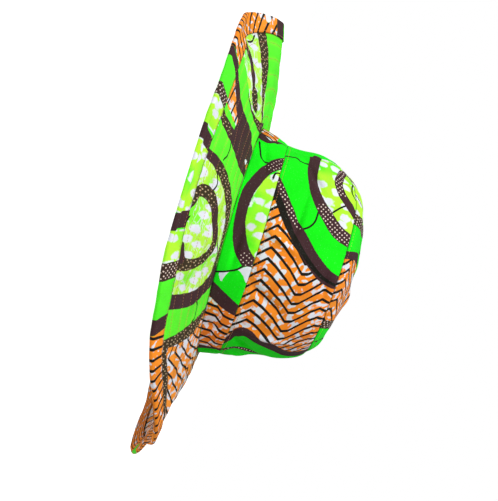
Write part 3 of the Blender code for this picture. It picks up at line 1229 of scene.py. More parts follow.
@dataclass
class Brim:
    """The wide brim: two stitched cloths over a stiffening, from under the crown out to the rim.

    Flat gives the unfolded cloth's length and width in metres, and flat_area its area. A print's
    places are mm on the flat cloth, and its chevrons start at a turn in degrees.
    """

    shape: HatShape
    columns: int = 600
    rows_a_face: int = 72
    under_turn: float = 24.0
    flat: tuple[float, float] = (0.400, 0.370)
    flat_area: float = 0.0905
    bake_strips: int = 2
    under_shift: float = 37.0
    middle_reach: float = 50.0
    chevron_offset: float = 0.48
    finish: PrintedCotton = PrintedCotton(
        "brim_cotton", 0.0,
        PrintInks(
            green=srgb(92, 248, 44), lime=srgb(184, 246, 66), orange=srgb(255, 150, 44),
            dot=srgb(214, 188, 148),
        ),
        chevron_pitch=11.0, chevron_width=2.4, olive_ground=0.9, row_pucker_highlight=0.6, blob=0.28, vein=0.7,
        dot_size=0.17, patch=0.525, draw_out=0.5, dot_scatter=0.55,
    )
    chevron_turn: float = 308.0
    zigzag: Zigzag = Zigzag(
        ((-150, 0), (-120, -16), (-90, 0), (-46, -36), (-12, -11), (0, 0), (22, -18.5), (46, -32),
         (84, -45), (104, -32), (140, -14), (190, -38), (240, -10), (296, 0)),
        11.0, 446.0,
    )
    under_chevron_turn: float = 300.0
    under_zigzag: Zigzag = Zigzag(
        ((-150, 0), (-120, -16), (-90, 0), (-46, -31), (0, 0), (160, -59), (190, -20), (296, 0)), 11.0, 446.0
    )
    strip_turns: tuple[float, float, float] = (302.0, 307.0, 349.0)
    strip_inset: float = 16.2
    strip_widths: tuple[float, ...] = (5.0, 9.0, 13.0, 9.0)
    motifs: tuple[Motif, ...] = (
        Lobe(Ink.LIME, ((-176, -58), (-170, -90), (-158, -107), (-146, -106), (-137, -101), (-122, -92),
            (-108, -80), (-99, -62), (-97, -44), (-110, -42), (-130, -46), (-150, -44), (-174, -46))),
        Ribbon(Ink.BROWN, ((-118, -92, 1.2), (-110, -83, 2), (-103, -72, 3), (-98, -56, 6), (-96, -40, 9),
            (-98, -28, 10))),
        Ribbon(Ink.DOTS, ((-103, -72, 4), (-98, -58, 7), (-97, -48, 8))),
        *dotted_ribbon(((-188, -54, 17), (-170, -51, 18), (-157, -49, 18), (-144, -49, 16),
            (-131, -51, 13))),
        *dotted_ribbon(((-134, -50, 12), (-126, -52, 10), (-116, -51, 7), (-107, -48, 6), (-100, -38, 6))),
        Ribbon(Ink.BROWN, ((-166, -99, 13), (-158, -93, 16), (-150, -87, 14), (-142, -84, 12),
            (-132, -82, 9), (-124, -80, 6), (-118, -76, 12), (-112, -71, 10), (-106, -66, 2))),
        Ribbon(Ink.DOTS, ((-166, -99, 15), (-158, -93, 18), (-153, -89, 12))),
        Ribbon(Ink.DOTS, ((-121, -78, 9), (-112, -71, 12), (-106, -66, 3))),
        Tendril(((-170, -66), (-163, -72), (-160, -80))),
        Lobe(Ink.ORANGE, ((-152, -122), (-131, -134), (-116, -141), (-107, -145), (-99, -136), (-91, -122),
            (-82, -106), (-97, -110), (-112, -120), (-128, -124))),
        Ribbon(Ink.BROWN, ((-150, -122, 5), (-137, -124, 7), (-123, -121, 9), (-108, -115, 11),
            (-94, -101, 16), (-80, -74, 20))),
        Ribbon(Ink.BROWN, ((-104, -160, 6), (-96, -150, 8), (-87, -140, 10), (-76, -118, 13), (-66, -94, 16),
            (-60, -72, 16))),
        Ribbon(Ink.DOTS, ((-106, -162, 9), (-96, -150, 9), (-87, -140, 8), (-80, -127, 4))),
        Lobe(Ink.BROWN, ((-90, -113), (-82, -120), (-71, -100), (-60, -78), (-54, -62), (-74, -56),
            (-87, -82), (-95, -101))),
        Lobe(Ink.ORANGE, ((-66, -75), (-62, -76), (-54, -60), (-52, -52), (-57, -54))),
        Lobe(Ink.LIME, ((-98, -168), (-90, -158), (-82, -150), (-84, -164), (-92, -178))),
        Tendril(((-82, -129), (-71, -126), (-63, -128), (-59, -133))),
        Lobe(Ink.LIME, ((-76, -182), (-64, -162), (-58, -146), (-47, -131), (-33, -115), (-12, -98),
            (10, -97), (26, -92), (36, -104), (46, -123), (52, -150), (54, -182), (20, -200), (-30, -200))),
        Ribbon(Ink.BROWN, ((-64, -176, 8), (-59, -160, 8), (-54, -143, 10), (-45, -126, 13), (-31, -110, 14),
            (-14, -95, 13), (4, -92, 12), (20, -90, 12), (32, -88, 12))),
        Ribbon(Ink.DOTS, ((-50, -136, 12), (-45, -126, 15), (-31, -110, 16), (-14, -95, 15), (4, -92, 14),
            (20, -90, 13))),
        Tendril(((-52, -146), (-46, -140), (-38, -139), (-31, -146))),
        Tendril(((2, -112), (10, -104), (14, -98), (12, -90))),
        Ribbon(Ink.BROWN, ((-12, -176, 5), (-20, -167, 6), (-29, -163, 9), (-30, -152, 11), (-24, -139, 11),
            (-10, -127, 11), (5, -119, 12), (18, -127, 10), (26, -143, 9), (29, -163, 11), (26, -184, 12))),
        Ribbon(Ink.DOTS, ((-22, -166, 8), (-29, -162, 11), (-30, -152, 13), (-25, -141, 12))),
        Ribbon(Ink.DOTS, ((10, -121, 13), (18, -127, 12), (26, -143, 11), (29, -163, 13), (26, -190, 14))),
        Lobe(Ink.BROWN, ((12, -168), (19, -163), (27, -160), (31, -172), (30, -190), (22, -188),
            (17, -180))),
        Tendril(((-8, -168), (0, -171), (10, -172))),
        Lobe(Ink.BROWN, ((-10, -200), (-14, -176), (-15, -169), (-3, -170), (5, -180), (6, -200))),
        Lobe(Ink.BROWN, ((54, -190), (54, -168), (52, -150), (46, -123), (35, -102), (22, -86), (36, -74),
            (47, -96), (58, -119), (63, -141), (66, -161), (68, -190))),
        Tendril(((52, -117), (58, -105), (67, -100), (72, -104))),
        Lobe(Ink.ORANGE, ((98, -160), (91, -141), (85, -122), (78, -103), (70, -85), (57, -62), (88, -30),
            (92, 6), (98, 26), (150, 30), (206, 24), (214, -60), (176, -124), (124, -172))),
        *dotted_ribbon(((97, -160, 6), (92, -143, 9), (86, -124, 11), (79, -105, 12), (71, -87, 11),
            (60, -68, 7))),
        Ribbon(Ink.BROWN, ((84, 24, 6), (100, 26, 9), (150, 30, 11), (206, 26, 12))),
    )
    far_cover: tuple[Motif, ...] = (
        Lobe(Ink.GREEN, ((-240, 112), (-150, 108), (-108, 92), (-70, 40), (0, 3), (100, 3), (240, 3),
            (240, -260), (0, -260), (-240, -260))),
        Ribbon(Ink.BROWN, ((-72, 48, 8), (-88, 76, 11), (-120, 102, 12), (-170, 112, 13))),
    )

    def cloth(self, turn: Array, share: Array) -> Array:
        """The flat cloth's place in mm under each point of the brim."""
        plan = oval(turn, self.shape.ring_half_length, self.shape.ring_half_width) / MM
        return plan + self.shape.outward(turn) * (self.shape.brim_width / MM * share)[..., None]

    def layout(self, turn: Array, share: Array, angle: float, zigzag: Zigzag, apex: float) -> PrintLayout:
        """Print one face.

        Args:
            turn: Turns in degrees.
            share: Shares of the brim's width.
            angle: Degrees that the print is turned by.
            zigzag: The face's chevron lines.
            apex: Turn of the chevrons' point.

        Returns:
            The printed face.
        """
        layout = PrintLayout(self.cloth(turn, share).reshape(-1, 2))
        near_set = self.motifs if angle else self.motifs + self.rim_strip()
        layout.paint(near_set, HALF_LOOP + angle)
        layout.paint(self.far_cover, angle)
        layout.paint(near_set, angle)
        start = self.shape.length_round(np.array([apex]), self.middle_reach)
        middle_line = self.shape.length_round(turn, self.middle_reach) - start
        outwards = share * self.shape.brim_width / MM
        phase = zigzag.phase(outwards, middle_line) + self.chevron_offset
        layout.fields[PrintLayout.PHASE] = phase.ravel()
        layout.fields[PrintLayout.ROW] = self.shape.row_distance(share).ravel()
        layout.fields[PrintLayout.SEAM] = outwards.ravel()
        return layout

    def rim_strip(self) -> tuple[Motif, ...]:
        """The narrow dotted strip of the print that runs beside the binding to the back."""
        start, full, end = self.strip_turns
        turns = np.array([start, full, (full + end) / 2, end])
        share = 1.0 - self.strip_inset * MM / self.shape.brim_width
        places = self.cloth(turns, np.full_like(turns, share))
        return dotted_ribbon(tuple((*place, width) for place, width in zip(places, self.strip_widths)))

    def build(self) -> bpy.types.Object:
        """Build the brim as one closed loop of cloth, its lower face first.

        Returns:
            The brim.
        """
        tuck = -self.shape.crown_wall / self.shape.brim_width
        under = np.linspace(tuck, 1.0, self.rows_a_face + 1)
        rows = np.concatenate([under, under[::-1], under[:1]])
        grid = ClothGrid("brim_cloth", self.columns, len(rows) - 1)
        turn = grid.turns()
        share = rows[None, :] * np.ones_like(turn)
        upper = np.arange(len(rows)) > self.rows_a_face
        upper[-1] = False
        low, _ = self.shape.brim_face(turn, share, -1)
        high, _ = self.shape.brim_face(turn, share, 1)
        points = np.where(upper[None, :, None], high, low)
        below = self.layout(turn, share, self.under_turn, self.under_zigzag, self.under_chevron_turn)
        above = self.layout(turn, share, 0.0, self.zigzag, self.chevron_turn)
        mask = np.broadcast_to(upper[None, :], turn.shape).ravel()
        fields = {name: np.where(mask, above.fields[name], below.fields[name]) for name in above.fields}
        cloth = self.cloth(turn, share)
        cloth = np.where(upper[None, :, None], cloth, cloth[..., ::-1] + self.under_shift)
        piece = grid.build(points, cloth, fields, self.bake_strips)
        dress(piece, "brim", self.finish.material())
        return piece

    def stitch(self, thread: bpy.types.Material) -> list[bpy.types.Object]:
        """Sew the brim's rows on both faces.

        Args:
            thread: The thread's material.

        Returns:
            The stitches of the upper and of the lower face.
        """
        turn = stitched_turns()
        pieces = []
        for face, name in ((1, "brim_top_stitches"), (-1, "brim_under_stitches")):
            places = []
            for inset in self.shape.quilt_rows:
                share = np.full_like(turn, 1.0 - inset * MM / self.shape.brim_width)
                points, normals = self.shape.brim_face(turn, share, face)
                places.extend(StitchRow().placements(points, normals))
            pieces.append(sew(name, places, thread))
        return pieces


@dataclass
class BrimBinding:
    """The tape folded over the rim and sewn down near its two edges.

    Narrowing is a turn in degrees, its spread, and by how many mm the tape is narrower there. The line
    stations are the mm along the tape where chevron lines cross it, and each row of slopes is such a
    place and how much the lines lean there.
    """

    shape: HatShape
    columns: int = 840
    flat_rows: int = 11
    edge_rows: int = 8
    wall: float = 0.0007
    stitch_inset: float = 12.9
    rim_length: float = 595.0
    flat: tuple[float, float] = (1.190, 0.033)
    flat_area: float = 0.0385
    finish: PrintedCotton = PrintedCotton(
        "binding_cotton", 410.0, PrintInks(green=srgb(84, 250, 44)), chevron_pitch=9.2, chevron_width=2.6,
        olive_ground=0.5, patch=0.60,
    )
    bake_strips: int = 4
    rim_reach: float = 95.0
    edge_round: float = 2.6
    stitch_spread: float = 1.1
    hem_start: float = 5.0
    hem_width: float = 3.0
    hem_rise: float = 0.00024
    stitch_sink: float = 0.00018
    pucker_rise: float = 0.00006
    twist_rise: float = 0.00008
    motifs: tuple[Motif, ...] = (
        Stripe(Ink.BROWN, 2, 22, 0.15),
        Stripe(Ink.ORANGE, 20, 137, 0.2),
        Lobe(Ink.WHITE, ((34, -1), (41, -1), (43, 7), (38, 8), (33, 5))),
        Stripe(Ink.BROWN, 137, 148, 0.3),
        *(Stripe(ink, 176, 188, 0.2) for ink in (Ink.BROWN, Ink.DOTS)),
        Stripe(Ink.LIME, 188, 214, 0.1),
        Stripe(Ink.BROWN, 214, 227, 0.3),
        Stripe(Ink.LIME, 227, 286, 0.2),
        Stripe(Ink.BROWN, 286, 300, -0.3),
        Stripe(Ink.LIME, 300, 325, -0.2),
        *(Stripe(ink, 325, 339, -0.2) for ink in (Ink.BROWN, Ink.DOTS)),
        Stripe(Ink.BROWN, 369, 383, -0.2),
        Stripe(Ink.ORANGE, 382, 596, -0.2),
        Lobe(Ink.GREEN, ((571, -8), (584, -8), (584, 0), (571, 0))),
    )
    # On the far front the tape is printed green, then a brown stretch that is painted shade along the brim's
    # far edge, and the tail's orange runs on.
    far_front: tuple[Motif, ...] = (
        Stripe(Ink.GREEN, -30, 2), Stripe(Ink.BROWN, -125, -28), Stripe(Ink.ORANGE, -596, -540)
    )
    narrowing: tuple[float, float, float] = (312.0, 20.0, 3.2)
    line_stations: tuple[float, ...] = (-60.0, -46.0, -32.0, -18.0, -4.0, 10.0, 28.0, 42.0, 52.0, 62.0, 71.0)
    line_slopes: Points = ((0.0, 1.45), (70.0, 1.45), (120.0, 0.5), (390.0, 0.1), (410.0, 0.0), (430.0, -0.3))
    lengthwise_from: float = 430.0
    lengthwise_to: float = 155.0
    lengthwise_drift: float = 75.0
    lengthwise_pitch: float = 2.9

    def cloth(self, turn: Array, inset: Array) -> Array:
        """The tape's own place in mm: along the rim, and in from it, below zero on the lower face."""
        return np.stack([self.shape.length_round(turn, self.rim_reach), inset], axis=-1)

    def surface(self, turn: Array, inset: Array, angle: Array) -> tuple[Array, Array]:
        """Outer face of the tape.

        Args:
            turn: Turns in degrees.
            inset: Millimetres in from the rim.
            angle: Degrees turned round the rim's edge, 90 on top and -90 below.

        Returns:
            The points and the outward normals.
        """
        middle, spread, depth = self.narrowing
        inset = inset * (1.0 - depth * MM / self.shape.tape_width * bell(turn - middle, spread))
        here, out, up = self.shape.brim_frame(turn, 1.0 - inset * MM / self.shape.brim_width)
        lean = np.radians(angle)[..., None]
        normal = out * np.cos(lean) + up * np.sin(lean)
        sewn = bell(inset - self.stitch_inset, self.stitch_spread)
        hem = ramp(inset - self.hem_start, self.hem_width)
        round_turn = np.radians(turn)
        pucker = np.cos(151 * round_turn + 0.3 * inset + angle) + np.cos(113 * round_turn - 0.5 * inset)
        twist = np.cos(64 * round_turn + 0.22 * inset * np.sign(angle))
        bulge = self.hem_rise * hem - self.stitch_sink * sewn
        bulge = bulge + self.pucker_rise * pucker * (0.3 + hem) + self.twist_rise * twist
        face = self.shape.brim_wall / 2 + self.shape.gap + self.wall + bulge
        points = here + normal * face[..., None]
        points[..., 2] = np.maximum(points[..., 2], 0.0)
        return points, normal

    def line_count(self, cloth: Array) -> Array:
        """Number of the chevron line at each place: across the tape, and along it on the lower face.

        Args:
            cloth: The tape's own places in mm.

        Returns:
            The numbers, whole on a line.
        """
        along = np.mod(cloth[..., 0], self.rim_length)
        crossing = along - np.interp(along, *zip(*self.line_slopes)) * cloth[..., 1]
        count = np.interp(crossing, self.line_stations, np.arange(len(self.line_stations)) + 0.5)
        count = count + np.maximum(crossing - self.line_stations[-1], 0.0) / self.finish.chevron_pitch
        near_end = (along < self.lengthwise_to) & (cloth[..., 0] < 0.0)
        lengthwise = (cloth[..., 1] < 0.0) & ((along > self.lengthwise_from) | near_end)
        drift = along / self.lengthwise_drift
        return np.where(lengthwise, drift - cloth[..., 1] / self.lengthwise_pitch, count)

    def build(self) -> bpy.types.Object:
        """Build the tape from its lower edge round the rim to its upper edge.

        Returns:
            The binding.
        """
        width = self.shape.tape_width / MM
        flat = np.linspace(width, 0.0, self.flat_rows)
        edge = np.linspace(-90.0, 90.0, self.edge_rows + 1)
        inset = np.concatenate([flat, np.zeros(len(edge) - 2), flat[::-1]])
        angle = np.concatenate([np.full(len(flat), -90.0), edge[1:-1], np.full(len(flat), 90.0)])
        grid = ClothGrid("binding_tape", self.columns, len(inset) - 1)
        turn = grid.turns()
        inset = inset[None, :] * np.ones_like(turn)
        angle = angle[None, :] * np.ones_like(turn)
        points, _ = self.surface(turn, inset, angle)
        round_edge = angle / 90.0 * self.edge_round
        cloth = self.cloth(turn, np.where(angle > 0, inset, -inset) + round_edge)
        layout = PrintLayout(cloth.reshape(-1, 2))
        layout.paint_twice(self.motifs, self.rim_length)
        layout.paint(self.far_front)
        layout.fields[PrintLayout.PHASE] = self.line_count(cloth).ravel()
        layout.fields[PrintLayout.SEAM] = (width - inset).ravel()
        piece = grid.build(points, cloth, layout.fields, self.bake_strips)
        thicken(piece, self.wall)
        dress(piece, "brim_binding", self.finish.material())
        return piece

    def stitch(self, thread: bpy.types.Material) -> list[bpy.types.Object]:
        """Sew the tape down on both faces.

        Args:
            thread: The thread's material.

        Returns:
            The stitches as one piece.
        """
        turn = stitched_turns()
        places = []
        for angle in (90.0, -90.0):
            row = self.surface(turn, np.full_like(turn, self.stitch_inset), np.full_like(turn, angle))
            places.extend(StitchRow(length=2.2).placements(*row))
        return [sew("binding_stitches", places, thread)]


@dataclass
class CrownBand:
    """The narrow strip at the foot of the crown.

    Edge_sink, edge_spread, pucker_rise and pucker_spread shape its upper edge, rises in metres and
    spreads in mm. Cloth_height is the height in mm that its print is laid out for.
    """

    shape: HatShape
    columns: int = 580
    rows: int = 24
    bake_strips: int = 4
    half_run: float = 289.5
    cloth_height: float = 25.0
    edge_sink: float = 0.00055
    edge_spread: float = 1.7
    pucker_rise: float = 0.00009
    pucker_spread: float = 5.0
    crease_ease: float = 4.0
    flat: tuple[float, float] = (0.580, 0.026)
    flat_area: float = 0.0145
    # The band's orange is darker and redder than on the other panels: painted shade of the band's low place
    # under the crown.
    finish: PrintedCotton = PrintedCotton(
        "band_cotton", 130.0, PrintInks(orange=srgb(248, 120, 34)), chevron_pitch=9.0, dot_size=0.15
    )
    zigzag: Zigzag = Zigzag(((0, -1), (4, 0), (9, 1), (16, 9), (24, 12)), 9.0)
    creases: tuple[Crease, ...] = tuple(Crease(*row) for row in (
        (66, 12, 15, 14, 2.8, -2.2), (44, 13, 100, 10, 4.0, 2.4), (225, 9, 70, 9, 3.5, -2.4),
        (266, 10, 85, 9, 3.0, -3.1), (151, 11, 0, 18, 2.6, -2.2), (-60, 12, 75, 9, 4.0, -2.1),
        (-170, 11, 100, 9, 4.0, -2.4),
    ))
    motifs: tuple[Motif, ...] = (
        Tendril(((48, 2), (58, 5), (66, 8), (68, 14))),
        Lobe(Ink.ORANGE, ((8, -3), (29, -3), (33, 4), (38, 11), (33, 15), (8, 14))),
        Ribbon(Ink.BROWN, ((33, -3, 9), (38, 3, 10), (42, 8, 9), (39, 13, 6), (33, 16, 4), (29, 20, 3),
            (28, 28, 3))),
        Lobe(Ink.LIME, ((70, 32), (79, 20), (90, 13), (101, 10), (114, 8), (130, 10), (148, 17), (158, 32))),
        Ribbon(Ink.BROWN, ((58, 30, 12), (67, 21, 11), (78, 14, 9), (92, 9, 9), (104, 6, 9), (124, 6, 8),
            (142, 10, 10), (155, 17, 11), (166, 30, 12))),
        Ribbon(Ink.DOTS, ((56, 32, 14), (67, 21, 12), (73, 17, 8))),
        Ribbon(Ink.DOTS, ((154, 16, 7), (160, 22, 12), (168, 32, 14))),
        Tendril(((75, 27), (77, 22), (83, 21))),
        Lobe(Ink.WHITE, ((172, 3), (170, 9), (167, 16), (163, 22), (166, 29), (175, 27), (180, 20),
            (181, 12), (179, 5))),
        Lobe(Ink.GREEN, ((172, 9), (169, 12), (168, 16), (171, 20), (177, 24), (186, 29), (197, 29),
            (194, 17), (186, 8), (179, 6.5))),
        Tendril(((173, -1), (171, 7), (168, 14), (163, 19))),
        Lobe(Ink.ORANGE, ((190, -4), (197, 8), (205, 18), (212, 30), (262, 30), (258, 14), (254, -4))),
        Ribbon(Ink.BROWN, ((184, -4, 10), (192, 6, 11), (200, 17, 11), (208, 30, 8))),
        Ribbon(Ink.BROWN, ((256, -4, 8), (260, 12, 9), (264, 30, 8))),
    )

    def profile(self, across: Array, up: Array, height: Array) -> Array:
        """How far the band's cloth stands off its plain wall, in metres."""
        below = height - up
        pucker = np.cos(across * 0.83) + np.cos(across * 1.21 + 1.0)
        push = -self.edge_sink * bell(below, self.edge_spread)
        push = push + self.pucker_rise * pucker * bell(below, self.pucker_spread)
        for crease in self.creases:
            push = push + crease.at(across, up) * ramp(up, self.crease_ease) * ramp(below, self.crease_ease)
        return push

    def build(self) -> bpy.types.Object:
        """Build the band from the ring up to its seam with the side panel.

        Returns:
            The band.
        """
        grid = ClothGrid("crown_band_cloth", self.columns, self.rows)
        turn = grid.turns()
        row = np.linspace(0.0, 1.0, self.rows + 1)[None, :] * np.ones_like(turn)
        foot = self.shape.gap_share(turn)
        share = foot + (self.shape.band_share(turn) - foot) * row
        points, normals = self.shape.wall_frame(turn, share)
        across = self.shape.length_round(turn)
        height = around(self.shape.crown_sections, "band", turn) / MM
        push = self.profile(across, row * height, height)
        points = points + normals * push[..., None]
        cloth = np.stack([across, row * self.cloth_height], axis=-1)
        layout = PrintLayout(cloth.reshape(-1, 2))
        layout.paint_twice(self.motifs, self.half_run)
        layout.number_lines(self.zigzag, self.half_run)
        piece = grid.build(points, cloth, layout.fields, self.bake_strips)
        thicken(piece, self.shape.crown_wall)
        dress(piece, "crown_band", self.finish.material())
        return piece


@dataclass
class CrownSide:
    """The tall side panel of the crown.

    Its seams sink and pucker, rises in metres and spreads in mm. Stitch_inset is the mm from the band
    up to its stitched row, and cloth_height the height in mm that its print is laid out for.
    """

    shape: HatShape
    columns: int = 540
    rows: int = 72
    bake_strips: int = 2
    half_run: float = 259.0
    cloth_height: float = 70.0
    foot_sink: float = 0.00055
    foot_spread: float = 1.7
    top_sink: float = 0.00060
    top_spread: float = 1.8
    pucker_rise: float = 0.00010
    pucker_spread: float = 6.0
    stitch_inset: float = 2.6
    stitch_sink: float = 0.00022
    stitch_spread: float = 0.7
    crease_ease: float = 6.0
    rumple_ease: float = 7.0
    join_sink: float = 0.0006
    join_spread: float = 1.2
    flat: tuple[float, float] = (0.560, 0.080)
    flat_area: float = 0.0385
    finish: PrintedCotton = PrintedCotton(
        "side_cotton", 230.0, PrintInks(orange=srgb(252, 128, 30)), chevron_pitch=8.8
    )
    zigzag: Zigzag = Zigzag(
        ((-4, 11), (9.5, 0), (18, 5), (30, 14), (40, 24), (45, 23), (57, 12), (64, 9), (74, 16)), 8.8
    )
    creases: tuple[Crease, ...] = tuple(Crease(*row) for row in (
        (98, 25, -3, 22, 3.0, -2.9), (122, 18, 70, 20, 3.4, 2.6), (60, 30, 35, 18, 2.9, -2.5),
        (168, 16, 55, 20, 3.2, -2.8), (206, 30, 75, 24, 3.4, 2.9), (222, 16, 40, 16, 3.0, -3.2),
        (240, 12, 60, 14, 2.9, 2.8), (152, 61, 12, 14, 3.0, -2.8), (28, 22, 80, 16, 3.2, -2.4),
        (-70, 26, 70, 22, 3.6, -2.4), (-130, 30, 50, 20, 3.6, 2.4), (-200, 24, 80, 20, 3.6, -2.4),
    ))
    motifs: tuple[Motif, ...] = (
        Tendril(((45, -2), (44, 5), (42, 11), (45, 16), (44, 24))),
        Lobe(Ink.LIME, ((26, 40), (36, 34), (52, 31), (68, 36), (80, 42), (94, 55), (101, 66), (106, 82),
            (26, 82))),
        Ribbon(Ink.BROWN, ((28, 34, 11), (36, 30, 11), (54, 28, 10), (68, 31, 9.5), (81, 38, 10),
            (92, 48, 11), (103, 61, 12), (110, 82, 12))),
        Ribbon(Ink.DOTS, ((86, 42, 10), (92, 48, 13), (103, 61, 14), (110, 82, 14))),
        Ribbon(Ink.BROWN, ((30, 68, 7), (39, 59, 7), (54, 53, 8), (65, 56, 8), (71, 61, 8), (82, 72, 7),
            (90, 84, 7))),
        Ribbon(Ink.DOTS, ((28, 70, 9), (39, 59, 9), (54, 53, 10), (64, 56, 9))),
        Tendril(((76, 60), (80, 56), (86, 51))),
        Tendril(((90, 39), (99, 38), (105, 34), (108, 28), (108, 22))),
        Tendril(((38, 74), (48, 68), (58, 66), (64, 70))),
        Lobe(Ink.ORANGE, ((84, -4), (101, 12), (115, 21), (124, 33), (137, 49), (152, 68), (160, 84),
            (236, 84), (236, 66), (228, 52), (219, 40), (210, 28), (203, 16), (201, 8), (213, 2),
            (220, -6))),
        Ribbon(Ink.BROWN, ((72, -4, 9), (82, 4, 9), (92, 11, 10), (104, 20, 11), (116, 31, 12),
            (129, 44, 12), (143, 62, 12), (152, 84, 12))),
        Ribbon(Ink.DOTS, ((75, 3, 6), (87, 10, 7), (97, 18, 8), (105, 26, 7))),
        Ribbon(Ink.BLACK, ((82, -2, 4), (92, 6, 6), (103, 14, 6), (115, 24, 5), (128, 38, 4), (142, 56, 3),
            (154, 80, 2))),
        Lobe(Ink.BROWN, ((224, -4), (212, 0), (198, 5), (199, 16), (207, 28), (216, 41), (227, 55),
            (236, 84), (250, 84), (241, 55), (229, 40), (216, 26), (207, 14), (210, 8), (219, 2),
            (230, -4))),
        Ribbon(Ink.BROWN, ((237, -4, 3), (227, 9, 3), (232, 20, 3), (243, 33, 3.5), (254, 50, 4),
            (259, 70, 5))),
        Ribbon(Ink.DOTS, ((237, -4, 4), (227, 9, 4), (232, 20, 4), (243, 33, 5), (254, 50, 6),
            (259, 70, 7))),
    )

    def profile(self, across: Array, up: Array, height: Array) -> Array:
        """How far the panel's cloth stands off its plain wall, in metres."""
        below = height - up
        pucker = np.cos(across * 0.79) + np.cos(across * 1.13 + 2.0)
        near = bell(up, self.pucker_spread) + bell(below, self.pucker_spread)
        push = -self.foot_sink * bell(up, self.foot_spread) - self.top_sink * bell(below, self.top_spread)
        push = push + self.pucker_rise * pucker * near
        push = push - self.stitch_sink * bell(up - self.stitch_inset, self.stitch_spread)
        inner = ramp(up, self.crease_ease) * ramp(below, self.crease_ease)
        for crease in self.creases:
            push = push + crease.at(across, up) * inner
        join = self.half_run - np.abs(across)
        return push - self.join_sink * bell(join, self.join_spread) * inner

    def surface(self, turn: Array, row: Array) -> tuple[Array, Array, Array]:
        """The panel's outer face.

        Args:
            turn: Turns in degrees.
            row: Shares of the panel's height.

        Returns:
            The points, their normals and the cloth's own place in mm.
        """
        start = self.shape.band_share(turn) + self.shape.gap_share(turn)
        share = start + (1.0 - start) * row
        _, normals = self.shape.wall_frame(turn, np.minimum(share, ALMOST_SEAM))
        points = self.shape.wall(turn, share)
        half_length = (self.shape.ring_half_length + self.shape.seam_half_length) / 2 / MM
        half_width = (self.shape.ring_half_width + self.shape.seam_half_width) / 2 / MM
        across = self.shape.loop_length(turn, half_length, half_width)
        seam = around(self.shape.crown_sections, "seam", turn) / MM
        height = seam * (1.0 - start)
        push = self.profile(across, row * height, height)
        inner = ramp(row * height, self.rumple_ease) * ramp((1.0 - row) * height, self.rumple_ease)
        push = push + self.shape.crown_rumple.at(np.radians(turn), row * height) * inner
        cloth = np.stack([across, row * self.cloth_height], axis=-1)
        return points + normals * push[..., None], normals, cloth

    def build(self) -> bpy.types.Object:
        """Build the side panel.

        Returns:
            The panel.
        """
        grid = ClothGrid("crown_side_cloth", self.columns, self.rows)
        turn = grid.turns()
        row = np.linspace(0.0, 1.0, self.rows + 1)[None, :] * np.ones_like(turn)
        points, _, cloth = self.surface(turn, row)
        layout = PrintLayout(cloth.reshape(-1, 2))
        layout.paint_twice(self.motifs, self.half_run)
        layout.number_lines(self.zigzag, self.half_run)
        piece = grid.build(points, cloth, layout.fields, self.bake_strips)
        thicken(piece, self.shape.crown_wall)
        dress(piece, "crown_side", self.finish.material())
        return piece

    def stitch(self, thread: bpy.types.Material) -> list[bpy.types.Object]:
        """Topstitch the side panel just above the band.

        Args:
            thread: The thread's material.

        Returns:
            The stitches as one piece.
        """
        turn = stitched_turns()
        height = around(self.shape.crown_sections, "seam", turn) * (1.0 - self.shape.band_share(turn))
        points, normals, _ = self.surface(turn, self.stitch_inset * MM / height)
        return [sew("side_stitches", StitchRow().placements(points, normals), thread)]


